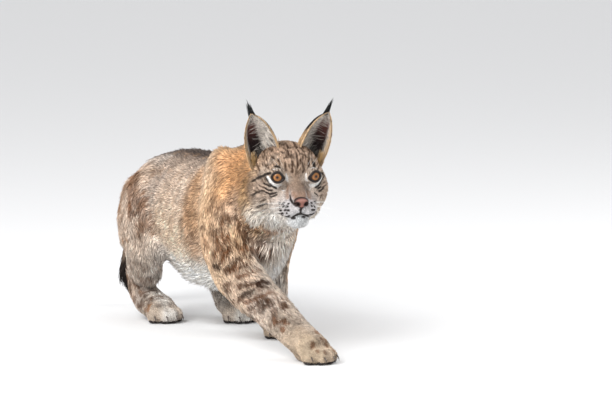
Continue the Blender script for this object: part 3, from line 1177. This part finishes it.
NOSE_VOXEL = 0.0005
MOUTH = [(0.1015, 0.0000, -0.0365), (0.1000, 0.0060, -0.0400), (0.0945, 0.0130, -0.0435),
         (0.0855, 0.0200, -0.0458), (0.0735, 0.0260, -0.0462), (0.0610, 0.0300, -0.0440)]
LIP_LINE = 0.00115
LEATHER_DARK, LEATHER_PINK, LEATHER_PALE = (0.030, 0.018, 0.016), (0.200, 0.090, 0.072), (0.29, 0.160, 0.130)
# The hide is darker than its hair, and black round the lids out to this reach
HIDE_SHADE = 0.70
LID_SKIN, LID_SKIN_REACH = (0.020, 0.014, 0.012), 1.16

bm = bmesh.new()
ball(bm, (0.1000, 0, -0.0165), (0.0087, 0.0120, 0.0068), (0, 12, 0), HEAD_FRAME)
for side in (1, -1):
    ball(bm, (0.0995, side * 0.0070, -0.0200), (0.0070, 0.0050, 0.0050), (0, 0, side * 10), HEAD_FRAME)
ball(bm, (0.1003, 0, -0.0215), (0.0078, 0.0060, 0.0070), (0, 4, 0), HEAD_FRAME)
ball(bm, (0.0990, 0, -0.0275), (0.0050, 0.0014, 0.0070), (0, 4, 0), HEAD_FRAME)
nose = smoothed(melted(bm, "nose_pad", NOSE_VOXEL), 3)
bm = bmesh.new()
for side in (1, -1):
    ball(bm, (0.1078, side * 0.0066, -0.0200), (0.0060, 0.0032, 0.0030), (side * 30, 0, side * 22), HEAD_FRAME)
    ball(bm, (0.1040, side * 0.0100, -0.0186), (0.0060, 0.0034, 0.0011), (side * -12, 0, side * 50), HEAD_FRAME)
combine(nose, object_from(bm, "nostrils"), "DIFFERENCE")
shaded_smooth(nose)
spots = to_head(points_of(nose)[0])
to_edge = np.hypot(spots[:, 1] / 11.5, (spots[:, 2] + 18.0) / 7.5)
to_nostril = np.linalg.norm((spots * (1, 0, 1) + np.abs(spots) * (0, 1, 0) - (106.5, 7.6, -20.6))
                            / (6.5, 5.0, 4.8), axis=1)
dark = np.maximum(rise(0.76, 1.04, to_edge), 1 - rise(0.85, 1.25, to_nostril))[:, None]
pale = (rise(-17, -12, spots[:, 2]) * (1 - rise(0.5, 0.9, to_edge)))[:, None]
set_colours(nose, mix(mix(LEATHER_PINK, LEATHER_PALE, pale), LEATHER_DARK, dark))

nose_finish = coat_material("nose_finish", 1600, 0.10, 0.38, 0.0004)
finished(nose, nose_finish, "nose_leather", "nose")

bpy.context.view_layer.update()
lip_path = []
for x, y, z in [(x, -y, z) for x, y, z in MOUTH[:0:-1]] + MOUTH:
    _, place, out, _ = hide.closest_point_on_mesh(HEAD_FRAME @ Vector((x, y, z)))
    lip_path.append(place + out * 0.0010)
lip_radii = [LIP_LINE * min(1.0, 0.4 + 0.3 * min(i, len(lip_path) - 1 - i)) for i in range(len(lip_path))]
bm = bmesh.new()
ring_tube(bm, lip_path, lip_radii, False)
lips = object_from(bm, "lip_line")
rounder = lips.modifiers.new("rounder", "SUBSURF")
rounder.levels = rounder.render_levels = 1
finished(shaded_smooth(frozen(lips)), wet_rim, "black_coat")
lip_points = np.array([tuple(Vector(lip_path[i]).lerp(lip_path[i + 1], t))
                       for i in range(len(lip_path) - 1) for t in (0, 0.25, 0.5, 0.75)])

# The hide has its full shape now and takes its colours. It stands for every node of flesh.
shaded_smooth(hide)
hide_points = points_of(hide)[0]
hide_colour = coat_colour(hide_points) * HIDE_SHADE
for side in (1, -1):
    hide_colour[lid_reach(hide_points, side) < LID_SKIN_REACH] = LID_SKIN
set_colours(hide, hide_colour)
hide_tree = BVHTree.FromObject(hide, bpy.context.evaluated_depsgraph_get())
flesh = ["head", "neck", "torso", "tail", "tail_tip"]
flesh += [f"{part}_{side}" for side in ("left", "right")
          for part in ("upper_arm", "forearm", "forepaw", "thigh", "shank", "hind_foot")]

# ---- Coat --------------------------------------------------------------------------------------
# Winter fur in fine tufts that spring from the hide and lie back along the body, short on face and feet and
# long on ruff, belly, thighs and tail. Each tuft is a thin three-sided blade that bends down to its tip.

BODY_SPACING, LOW_SPACING, FACE_SPACING, CROWN_SPACING = 2.25, 1.80, 1.05, 1.65
# How many places are tried for each root, and how near two roots may be as a part of their spacing
TRIED_PLACES, ROOTS_APART = 2.0, 0.74
TUFT_SINK = 0.0008
TUFTS_IN_CLUMP = 16
PALE_TIPS = 0.14
LOWEST_TIP = 0.0004
# No tuft grows this near to lids, nose and lips, or under the soles
LID_CLEAR, LIP_CLEAR = 0.0012, 0.0016
NOSE_CLEAR, NOSE_MIDDLE = (12.5, 8.0), -18.5
SOLE_CLEAR = 0.0035
# Width of a tuft's patch on the OFBake map, and the part of the map that the patches spread over
PATCH_SIZE = 0.003
MAP_MARGIN, MAP_SPAN = 0.02, 0.96


def tree_of(points):
    tree = KDTree(len(points))
    for i, place in enumerate(points):
        tree.insert(place, i)
    tree.balance()
    return tree


def spacing_of(points):
    """Distance between roots in millimetres: closest on the face, close on the feet."""
    spot = to_head(points)
    share = head_share(spot)
    on_face = FACE_SPACING + (CROWN_SPACING - FACE_SPACING) * (1 - rise(0, 60, spot[:, 0]))
    low = 1 - rise(0.05, 0.16, points[:, 2])
    return (BODY_SPACING - (BODY_SPACING - LOW_SPACING) * low) * (1 - share) + on_face * share


def scattered(obj, seed):
    """Roots spread evenly over a surface, with the way out at each."""
    chance = np.random.default_rng(seed)
    mesh = obj.data
    mesh.calc_loop_triangles()
    corners = np.empty(len(mesh.loop_triangles) * 3, np.int32)
    mesh.loop_triangles.foreach_get("vertices", corners)
    corners = corners.reshape(-1, 3)
    places, normals = points_of(obj)
    a, b, c = (places[corners[:, k]] for k in range(3))
    area = np.linalg.norm(np.cross(b - a, c - a), axis=1) / 2
    spacing = spacing_of((a + b + c) / 3) / 1000
    wanted = area / spacing ** 2 * TRIED_PLACES
    count = np.floor(wanted + chance.random(len(wanted))).astype(int)
    of = np.repeat(np.arange(len(count)), count)
    r, s = chance.random(len(of)), chance.random(len(of))
    flip = r + s > 1
    r[flip], s[flip] = 1 - r[flip], 1 - s[flip]
    root = a[of] + (b - a)[of] * r[:, None] + (c - a)[of] * s[:, None]
    na, nb, nc = (normals[corners[of, k]] for k in range(3))
    out = unit(na + (nb - na) * r[:, None] + (nc - na) * s[:, None])
    reach = spacing[of] * ROOTS_APART
    tree = tree_of(root)
    free = np.ones(len(root), bool)
    for i in chance.permutation(len(root)):
        if free[i]:
            for _, j, _ in tree.find_range(root[i], reach[i]):
                free[j] = False
            free[i] = True
    return root[free], out[free]


def turned(ways, axes, angles):
    """Turns unit vectors that lie square to their axes, by angles."""
    return ways * np.cos(angles)[:, None] + np.cross(axes, ways) * np.sin(angles)[:, None]


def tuft_piece(name, root, out, lie, length, width, lift, tint, place_on_unwrap, seed, clump=0.26, rings=2,
               shades=(0.60, 0.96, 1.12), vary=0.17, wander=1.0):
    """One joined mesh of tufts. tint(points) gives the colour of the coat at points of the tufts."""
    chance = np.random.default_rng(seed)
    count = len(root)
    length = length * chance.uniform(0.78, 1.18, count)
    lie = turned(lie, out, wander * (chance.normal(0, 0.14, count) + 0.13 * waves(root, 0.045, seed + 1)
                                     + 0.08 * waves(root, 0.016, seed + 2)))
    lift = lift * chance.uniform(0.7, 1.35, count)
    tip = root + lie * length[:, None] + out * (lift * length)[:, None]
    if clump and count > 40:
        heads = chance.choice(count, count // TUFTS_IN_CLUMP, replace=False)
        tree = tree_of(root[heads])
        nearest = heads[[tree.find(place)[1] for place in root]]
        pull = (tip[nearest] - tip) * (clump * chance.uniform(0.4, 1.0, count))[:, None]
        pull -= out * (pull * out).sum(1)[:, None] * 0.5
        short = np.minimum(1, 0.6 * length / np.maximum(np.linalg.norm(pull, axis=1), 1e-6))
        tip += pull * short[:, None]
    start = root - out * TUFT_SINK
    bend = root + lie * (0.45 * length)[:, None] + out * (0.95 * lift * length)[:, None]
    across = unit(np.cross(out, tip - start))
    across = turned(across, out, chance.normal(0, 0.25, count))
    stations, sizes = ((0.0, 0.44), (0.75, 1.0)) if rings == 2 else ((0.0, 0.32, 0.68), (0.75, 1.0, 0.62))
    section = ((0.0, 0.36), (-0.5, -0.18), (0.5, -0.18))
    points = np.empty((count, 3 * rings + 1, 3))
    for k, (t, size) in enumerate(zip(stations, sizes)):
        middle = start * (1 - t) ** 2 + bend * 2 * t * (1 - t) + tip * t * t
        for j, (side, height) in enumerate(section):
            points[:, 3 * k + j] = (middle + across * (side * size * width)[:, None]
                                    + out * (height * size * width)[:, None])
    points[:, -1] = tip
    points[:, :, 2] = np.maximum(points[:, :, 2], LOWEST_TIP)

    faces = []
    for k in range(rings - 1):
        for j in range(3):
            n = (j + 1) % 3
            faces.append((3 * k + j, 3 * k + n, 3 * k + 3 + n, 3 * k + 3 + j))
    top = 3 * (rings - 1)
    triangles = [(0, 2, 1)] + [(top + j, top + (j + 1) % 3, 3 * rings) for j in range(3)]
    per_tuft = np.array([v for f in faces for v in f] + [v for f in triangles for v in f])
    sizes_of = np.array([4] * len(faces) + [3] * len(triangles))
    corners = (np.arange(count)[:, None] * (3 * rings + 1) + per_tuft).ravel()
    totals = np.tile(sizes_of, count)
    mesh = bpy.data.meshes.new(name)
    mesh.vertices.add(count * (3 * rings + 1))
    mesh.vertices.foreach_set("co", points.astype(np.float32).ravel())
    mesh.loops.add(len(corners))
    mesh.loops.foreach_set("vertex_index", corners.astype(np.int32))
    mesh.polygons.add(len(totals))
    mesh.polygons.foreach_set("loop_start", np.concatenate(([0], np.cumsum(totals)[:-1])).astype(np.int32))
    mesh.update(calc_edges=True)
    mesh.shade_smooth()

    middle = start * 0.25 + bend * 0.5 + tip * 0.25
    mid_colour, tip_colour = tint(middle), tint(tip)
    bright = 1 + np.clip(chance.normal(0, vary, count), -2.2 * vary, 2.2 * vary)
    bright = (bright * (1 + 0.5 * vary * waves(root, 0.007, seed + 3)))[:, None]
    pale = (chance.random(count) < PALE_TIPS)[:, None]
    colours = np.empty((count, 3 * rings + 1, 4))
    colours[..., 3] = 1
    colours[:, :3, :3] = (mid_colour * shades[0] * bright)[:, None]
    for k in range(1, rings):
        colours[:, 3 * k:3 * k + 3, :3] = (mid_colour * shades[1] * bright)[:, None]
    colours[:, -1, :3] = tip_colour * bright * np.where(pale, 1.12 * shades[2], shades[2])
    layer = mesh.color_attributes.new("coat_colour", "FLOAT_COLOR", "POINT")
    layer.data.foreach_set("color", np.clip(colours, 0.002, 0.95).astype(np.float32).ravel())

    patch = np.empty((3 * rings + 1, 2))
    for k, t in enumerate(stations):
        for j in range(3):
            patch[3 * k + j] = (j / 2.5 + 0.08 * k, t)
    patch[-1] = (0.5, 1.0)
    spread = (place_on_unwrap(root)[:, None] + (patch - 0.5) * PATCH_SIZE).reshape(-1, 2)
    baked = mesh.uv_layers.new(name="OFBake")
    baked.uv.foreach_set("vector", spread[corners].astype(np.float32).ravel())

    piece = bpy.data.objects.new(name, mesh)
    bpy.context.scene.collection.objects.link(piece)
    return finished(piece, fur_finish, "buff_coat")


def on_map(across, up):
    return MAP_MARGIN + MAP_SPAN * np.column_stack((across, up))


def on_form(number):
    """A plan of one form of the body, unrolled round its line: angle across, length up."""
    own = np.flatnonzero(line_form == number)
    steps = np.linalg.norm(line_step[own], axis=1)
    before = np.concatenate(([0], np.cumsum(steps)[:-1]))

    def place(points):
        away = points[:, None] - line_start[own]
        t = np.clip((away * line_step[own]).sum(2) / steps ** 2, 0, 1)
        away = away - t[..., None] * line_step[own]
        best = (away ** 2).sum(2).argmin(1)
        row = np.arange(len(points))
        away = away[row, best]
        angle = np.arctan2((away * line_deep[own][best]).sum(1), (away * line_side[own][best]).sum(1))
        along = (before[best] + t[row, best] * steps[best]) / steps.sum()
        return on_map(angle / (2 * np.pi) + 0.5, along)
    return place


def on_head(points):
    """A plan of the head: turn round the nose line across, and slant away from it up."""
    spot = to_head(points) - (20, 0, -10)
    turn = np.arctan2(spot[:, 1], spot[:, 2]) / (2 * np.pi) + 0.5
    slant = np.arctan2(np.hypot(spot[:, 1], spot[:, 2]), spot[:, 0]) / np.pi
    return on_map(turn, slant)


root, out = scattered(hide, 11)
spot = to_head(root)
keep = root[:, 2] > SOLE_CLEAR
for side in (1, -1):
    keep &= lid_reach(root, side, LID_CLEAR) > 1
keep &= (np.hypot(spot[:, 1] / NOSE_CLEAR[0], (spot[:, 2] - NOSE_MIDDLE) / NOSE_CLEAR[1]) > 1) | (spot[:, 0] < 95)
lip_tree = tree_of(lip_points)
near_face = np.flatnonzero(spot[:, 0] > 50)
keep[near_face] &= np.array([lip_tree.find(place)[2] > LIP_CLEAR for place in root[near_face]])
root, out, spot = root[keep], out[keep], spot[keep]
lie, length, lift, form = coat_of(root, out)
# The roots are found, so the hide may move to its place
finished(hide, hide_finish, "buff_coat", *flesh)

# Longer hair under chest and belly, behind the thighs and elbows, on the tail's end and along the back: middle,
# reach, length in millimetres and how far the tips stand out as a part of that
FRINGES = [
    ((0.060, 0.0, 0.085), (0.20, 0.075, 0.030), 36, 0.42),
    ((-0.080, 0.0, 0.080), (0.12, 0.075, 0.030), 38, 0.42),
    ((0.170, 0.0, 0.115), (0.06, 0.060, 0.035), 34, 0.36),
    ((0.245, -0.015, 0.175), (0.05, 0.060, 0.035), 34, 0.34),
    ((-0.330, 0.055, 0.205), (0.035, 0.045, 0.060), 28, 0.30),
    ((-0.330, -0.055, 0.205), (0.035, 0.045, 0.060), 28, 0.30),
    ((0.050, -0.078, 0.150), (0.030, 0.040, 0.045), 24, 0.26),
    ((-0.005, 0.078, 0.165), (0.030, 0.040, 0.045), 24, 0.26),
    ((-0.379, -0.028, 0.075), (0.030, 0.030, 0.025), 30, 0.16),
    ((-0.120, 0.005, 0.292), (0.080, 0.040, 0.030), 20, 0.38),
]
for centre, reach, longest, stand in FRINGES:
    near = np.exp(-(((root - centre) / reach) ** 2).sum(1))
    near = np.clip(1.5 * near, 0, 1) * (form != HEAD_NUMBER)
    length = np.maximum(length, mix(length, longest / 1000, near))
    lift = np.maximum(lift, mix(lift, stand, near))
width = np.minimum(0.00075 + 0.050 * length, 0.0020)

is_left = root[:, 1] > (-0.03 * rise(0.15, 0.30, root[:, 0]))
for number, form_name in enumerate(FORM_NAMES + ["head"]):
    on_this = form == number
    if form_name == "trunk":
        parts = [(f"{end}_{side}", on_this & (is_left == (side == "left"))
                  & ((root[:, 0] > at) & (root[:, 0] <= upto)))
                 for side in ("left", "right") for end, at, upto in
                 (("chest", -0.03, 1), ("flank", -0.16, -0.03), ("rump", -1, -0.16))]
    elif form_name == "head":
        parts = [(f"{end}_{side}", on_this & (is_left == (side == "left")) & ((spot[:, 0] > 25) == (end == "face")))
                 for side in ("left", "right") for end in ("face", "ruff")]
    elif form_name == "neck":
        parts = [(f"neck_{side}", on_this & (is_left == (side == "left"))) for side in ("left", "right")]
    else:
        parts = [(form_name, on_this)]
    for part_name, chosen in parts:
        plan = on_head if form_name == "head" else on_form(number)
        tuft_piece(f"coat_{part_name}", root[chosen], out[chosen], lie[chosen], length[chosen], width[chosen],
                   lift[chosen], coat_colour, plan, 100 + 7 * number + len(part_name))

# ---- Ears --------------------------------------------------------------------------------------
# Each ear is a thin leaf of cartilage, rolled open to the front and rooted in the corner of the skull. The
# hollow is dark towards its outer side, long pale hair grows across it, and a black tuft crowns the tip.

EAR_INNER_EDGE = ((0.012, 0.016, 0.050), (0.016, 0.031, 0.100), (0.013, 0.0615, 0.1095))
EAR_OUTER_EDGE = ((-0.010, 0.050, 0.004), (-0.002, 0.0835, 0.066), (0.013, 0.0645, 0.1095))
EAR_FACING = np.array((math.cos(math.radians(24)), math.sin(math.radians(24)), 0))
EAR_DEPTH = 0.80
EAR_WRAP = math.radians(95)
EAR_WALL = 0.0018
EAR_LEVELS, EAR_STEPS = 40, 28
EAR_TUFT_LEAN = np.array((-0.10, 0.36, 0.92))
EAR_TUFT_LENGTH = 0.024
EAR_TUFT_HAIRS = 54
EAR_CREAM = (0.62, 0.44, 0.27)
EAR_PALE = (0.70, 0.635, 0.57)
EAR_TAWNY = (0.50, 0.33, 0.16)
EAR_ROOT = (0.42, 0.28, 0.16)
EAR_GREY = (0.40, 0.35, 0.30)
EAR_BLACK = (0.022, 0.017, 0.015)
HOLLOW_BLACK, HOLLOW_RED = (0.022, 0.013, 0.013), (0.13, 0.050, 0.042)
# Each kind of hair: count, range up the ear, range of turn, whether inside, way up and across, how far the tips
# stand out, length at base and tip, width
EAR_HAIR = (
    ("back", 3000, (0.02, 0.98), (-1.0, 1.0), False, (1.0, 0.0), 0.22, (0.0060, 0.0035), 0.0011),
    ("rim_in", 420, (0.02, 0.99), (-1.0, -0.93), False, (1.0, -0.25), 0.20, (0.0055, 0.0030), 0.0009),
    ("rim_out", 420, (0.02, 0.99), (0.93, 1.0), False, (1.0, 0.35), 0.20, (0.0060, 0.0035), 0.0009),
    ("pale", 1500, (0.03, 0.95), (-0.98, -0.20), True, (0.62, 0.78), 0.36, (0.0170, 0.0070), 0.0008),
    ("stray", 44, (0.06, 0.88), (-0.30, 0.25), True, (0.66, 0.74), 0.55, (0.0200, 0.0090), 0.0005),
    ("base", 620, (0.00, 0.20), (-0.85, 0.97), True, (0.95, 0.10), 0.42, (0.0200, 0.0120), 0.0010),
    ("far", 420, (0.02, 0.90), (0.60, 0.98), True, (0.85, -0.45), 0.24, (0.0090, 0.0045), 0.0008),
    ("hollow", 900, (0.02, 0.96), (-0.45, 0.85), True, (1.0, 0.1), 0.25, (0.0060, 0.0035), 0.0009),
)
LONG_EAR_HAIR = ("pale", "stray", "base")
# Tones of the strands of long hair, and how often each comes
STRAND_TONES, STRAND_CHANCES = (0.16, 0.62, 0.9, 1.15), (0.14, 0.26, 0.30, 0.30)


def curve(guides, t):
    a, b, c = (np.array(guide) for guide in guides)
    t = np.asarray(t, float)[:, None]
    return a * (1 - t) ** 2 + b * 2 * t * (1 - t) + c * t * t


def on_ear(side, t, turn, size):
    """Places on an ear: t runs up it, turn from -1 at its inner edge to 1 at its outer one."""
    inner, outer = curve(EAR_INNER_EDGE, t), curve(EAR_OUTER_EDGE, t)
    half = (outer - inner) / 2
    back = -EAR_FACING * np.linalg.norm(half, axis=1, keepdims=True) * EAR_DEPTH
    angle = EAR_WRAP * np.asarray(turn, float)[:, None]
    spot = (inner + outer) / 2 + (half * np.sin(angle) + back * np.cos(angle)) * np.asarray(size)[..., None]
    return HEAD_AT + spot * (1, side, 1) @ HEAD_TURNED.T


def ear_ways(side, t, turn):
    """Directions up the ear, across it to the outer edge, and out of its back."""
    up = unit(on_ear(side, t + 0.02, turn, 1) - on_ear(side, t - 0.02, turn, 1))
    across = unit(on_ear(side, t, turn + 0.02, 1) - on_ear(side, t, turn - 0.02, 1))
    out = on_ear(side, t, turn, 1.02) - on_ear(side, t, turn, 0.98)
    return up, across, laid_square(out, up)


def ear_colour(t, turn, is_inside):
    """Colour of an ear's hair: a dark hollow in pale hair, a cream rim, and a black back with a grey patch."""
    hollow = (rise(-0.14, 0.18, turn) * (1 - rise(0.66, 0.92, turn)) * rise(-0.10, 0.08, t)
              * (1 - rise(0.66, 0.92, t)))[:, None]
    deep = rise(0.35, 0.75, t)[:, None]
    edge = rise(0.82, 0.97, np.abs(turn))[:, None]
    inside = mix(mix(EAR_PALE, mix(HOLLOW_BLACK, HOLLOW_RED, deep), hollow), EAR_CREAM, edge)
    grey = ((1 - rise(0.30, 0.62, np.abs(turn))) * rise(0.25, 0.38, t) * (1 - rise(0.55, 0.72, t)))[:, None]
    root_hair = (1 - rise(0.18, 0.42, t))[:, None]
    behind = mix(mix(EAR_BLACK, EAR_GREY, grey), EAR_ROOT, root_hair)
    return np.where(is_inside[:, None], inside, behind)


for side, word in ((1, "left"), (-1, "right")):
    level, step = np.meshgrid(np.linspace(0, 1, EAR_LEVELS + 1), np.linspace(-1, 1, EAR_STEPS + 1), indexing="ij")
    level, step = level.ravel(), step.ravel()
    half_width = np.linalg.norm(curve(EAR_OUTER_EDGE, level) - curve(EAR_INNER_EDGE, level), axis=1) / 2
    wall = np.minimum(EAR_WALL * (1 - 0.4 * level) / half_width, 0.6)
    skins = [on_ear(side, level, step, 0.98), on_ear(side, level, step, 0.98 - wall)]
    bm = bmesh.new()
    outer_skin, inner_skin = ([[bm.verts.new(p) for p in ring] for ring in
                               skin.reshape(EAR_LEVELS + 1, EAR_STEPS + 1, 3)] for skin in skins)
    rings = [front + back[::-1] for front, back in zip(outer_skin, inner_skin)]
    for near, far in zip(rings, rings[1:]):
        for i, vert in enumerate(near):
            bm.faces.new((near[i - 1], vert, far[i], far[i - 1]))
    bmesh.ops.triangulate(bm, faces=[bm.faces.new(rings[0]), bm.faces.new(rings[-1])])
    bmesh.ops.recalc_face_normals(bm, faces=bm.faces[:])
    shell = shaded_smooth(object_from(bm, f"ear_{word}_leaf"))
    behind, inside = (ear_colour(level, step, np.full(len(level), flag)) for flag in (False, True))
    set_colours(shell, np.concatenate((behind, inside)) * 0.8)
    finished(shell, hide_finish, "buff_coat", f"ear_{word}")

    chance = np.random.default_rng(40 + side)
    for kind, count, heights, turns, is_inside, (upward, outward), stand, lengths, thick in EAR_HAIR:
        t, turn = chance.uniform(*heights, count), chance.uniform(*turns, count)
        up, across, out = ear_ways(side, t, turn)
        facing = -out if is_inside else out
        root = on_ear(side, t, turn, 0.985 - (EAR_WALL / 0.024 if is_inside else 0))
        lie = laid_square(unit(up * upward + across * outward), facing)
        tone = ear_colour(t, turn, np.full(count, is_inside))
        if kind.startswith("rim"):
            tone = np.tile(EAR_CREAM, (count, 1))
        if kind in LONG_EAR_HAIR:
            strand = chance.choice(STRAND_TONES, count, p=STRAND_CHANCES)
            tone = np.tile(EAR_PALE, (count, 1)) * strand[:, None]
        if kind == "base":
            shaded = (rise(-0.10, 0.10, turn) * (1 - rise(0.55, 0.75, turn)))[:, None]
            tawny = rise(0.55, 0.75, turn)[:, None]
            tone = mix(tone * (1 - 0.85 * shaded), EAR_TAWNY, tawny)
        long = mix(*lengths, t)
        plan = on_map(turn / 4 + (0.25 if is_inside else 0.75), t)
        tuft_piece(f"ear_{word}_{kind}", root, facing, lie, long, np.full(count, thick), np.full(count, stand),
                   lambda points: tone, lambda points: plan, 500 + len(kind), clump=0.25,
                   rings=3 if kind in LONG_EAR_HAIR else 2, shades=(0.6, 1.0, 1.08), vary=0.14)

    count = EAR_TUFT_HAIRS
    t, turn = chance.uniform(0.88, 0.985, count), chance.uniform(-0.6, 0.6, count)
    root = on_ear(side, t, turn, 0.97)
    ahead = np.tile(HEAD_TURNED[:, 0], (count, 1))
    top = on_ear(side, np.array([0.985]), np.array([0.0]), 0.6)[0]
    tip = top + EAR_TUFT_LEAN * (1, side, 1) @ HEAD_TURNED.T * EAR_TUFT_LENGTH + chance.normal(0, 0.0011, (count, 3))
    way = tip - root
    long = np.linalg.norm(way, axis=1) * np.where(chance.random(count) < 0.35, 0.95, chance.uniform(0.4, 0.8, count))
    way = laid_square(way, ahead)
    tone = np.full((count, 3), 0.012)
    plan = on_map(turn / 4 + 0.75, t)
    tuft_piece(f"ear_{word}_tuft", root, ahead, way, long, np.full(count, 0.0011), np.full(count, -0.04),
               lambda points: tone, lambda points: plan, 520, clump=0, rings=3, shades=(1.0, 1.0, 1.0), wander=0.25)

# ---- Whiskers ----------------------------------------------------------------------------------
# Stiff white bristles, rooted in the dark rows on the upper lip and above the eyes. They taper to a point and
# sag under their own weight.

# Root and way out in the head frame, and length in millimetres
WHISKERS = [
    ((92, 20, -22), (-0.10, 1.00, 0.10), 34), ((86, 24, -22), (-0.25, 1.00, 0.08), 42),
    ((79, 28, -24), (-0.45, 1.00, 0.04), 40), ((93, 20, -27), (-0.10, 1.00, -0.12), 38),
    ((87, 25, -28), (-0.30, 1.00, -0.14), 48), ((80, 29, -30), (-0.50, 1.00, -0.16), 46),
    ((90, 23, -33), (-0.25, 1.00, -0.34), 40), ((83, 27, -35), (-0.45, 1.00, -0.36), 42),
    ((56, 21, 34), (0.10, 0.50, 1.00), 26), ((54, 28, 35), (0.00, 0.70, 1.00), 24),
]
WHISKER_RADIUS = 0.00016
WHISKER_SECTIONS = 9
WHISKER_SAG = 0.16

bm = bmesh.new()
for spot, way, long in WHISKERS:
    for side in (1, -1):
        place = hide_tree.find_nearest(HEAD_FRAME @ (Vector((spot[0], side * spot[1], spot[2])) / 1000))[0]
        way_out = (HEAD_FRAME.to_3x3() @ Vector((way[0], side * way[1], way[2]))).normalized()
        path = []
        for i in range(WHISKER_SECTIONS):
            t = i / (WHISKER_SECTIONS - 1)
            sag = Vector((0.3, 0, 1)) * (WHISKER_SAG * long / 1000 * t * t)
            path.append(place + way_out * (long / 1000 * t) - sag)
        ring_tube(bm, path, [WHISKER_RADIUS * (1.04 - i / (WHISKER_SECTIONS - 1))
                             for i in range(WHISKER_SECTIONS)], False, 6)
whisker_finish = plain_material("whisker_finish", (0.84, 0.83, 0.80), 0.35)
finished(shaded_smooth(object_from(bm, "whiskers")), whisker_finish, "buff_coat")

# ---- Claws and pads ----------------------------------------------------------------------------
# Dark horn claws, drawn back so that only their ends show from the fur of each toe, and bare black pads that
# the toes stand on.

CLAW_RADIUS = 0.0011
# A claw's curve over its toe, and its thickness at each point as a part of the full one
CLAW_CURVE = ((0.0130, 0, 0.0135), (0.0165, 0, 0.0130), (0.0190, 0, 0.0105), (0.0205, 0, 0.0070),
              (0.0208, 0, 0.0040))
CLAW_TAPER = (1, 1, 0.85, 0.55, 0.08)
PAD_HEIGHT = 0.0038
TOE_PAD, TOE_PAD_AT = (0.0100, 0.0068, 0.0036), 0.0035
SOLE_PAD, SOLE_PAD_AT = (0.0150, 0.0140, 0.0036), -0.022

claws, pads = bmesh.new(), bmesh.new()
for stations in LEGS.values():
    toes, height = foot_frame(stations)
    for across, reach in zip(TOE_SPREAD, TOE_REACH):
        toe = toes @ Matrix.Translation((reach, across, -height)) @ Matrix.Rotation(across * 8, 4, "Z")
        path = [toe @ Vector(point) for point in CLAW_CURVE]
        ring_tube(claws, path, [CLAW_RADIUS * size for size in CLAW_TAPER], False, 10)
        ball(pads, (TOE_PAD_AT, 0, PAD_HEIGHT), TOE_PAD, (0, 0, 0), toe)
    ball(pads, (SOLE_PAD_AT, 0, PAD_HEIGHT - height), SOLE_PAD, (0, 0, 0), toes)
claw_horn = plain_material("claw_horn", (0.060, 0.042, 0.034), 0.30)
finished(shaded_smooth(object_from(claws, "claws")), claw_horn, "black_coat")
finished(shaded_smooth(object_from(pads, "pads")), wet_rim, "black_coat")

# ---- Floor and light ---------------------------------------------------------------------------
# A plain pale floor and a large soft light, as of an overcast winter day.

FLOOR_SIZE, FLOOR_GREY = 40, (0.75, 0.75, 0.75)
SKY_COLOUR, SKY_STRENGTH = (0.98, 0.985, 1.0), 0.91
LIGHTS_AIM = Vector((0.1, 0, 0.2))
# Name, place, size in metres and power in watts
LIGHTS = (("sky_light", (1.5, -2.4, 2.1), 2.4, 150), ("side_light", (0.6, 2.4, 1.8), 2.0, 30))

bm = bmesh.new()
bmesh.ops.create_grid(bm, x_segments=1, y_segments=1, size=FLOOR_SIZE)
floor = object_from(bm, "floor")
floor.data.materials.append(plain_material("pale_floor", FLOOR_GREY, 0.9))

world = bpy.context.scene.world or bpy.data.worlds.new("overcast")
bpy.context.scene.world = world
world.use_nodes = True
world.node_tree.nodes["Background"].inputs["Color"].default_value = (*SKY_COLOUR, 1)
world.node_tree.nodes["Background"].inputs["Strength"].default_value = SKY_STRENGTH
for name, place, size, power in LIGHTS:
    light = bpy.data.objects.new(name, bpy.data.lights.new(name, "AREA"))
    light.data.size = size
    light.data.energy = power
    light.location = place
    light.rotation_mode = "QUATERNION"
    light.rotation_quaternion = (LIGHTS_AIM - Vector(place)).to_track_quat("-Z", "Y")
    bpy.context.scene.collection.objects.link(light)

# ---- Size and hand-over ------------------------------------------------------------------------
# The boxes round the solids and round the finished model, in metres, are kept beside this file, and the pieces
# are handed over.

import json
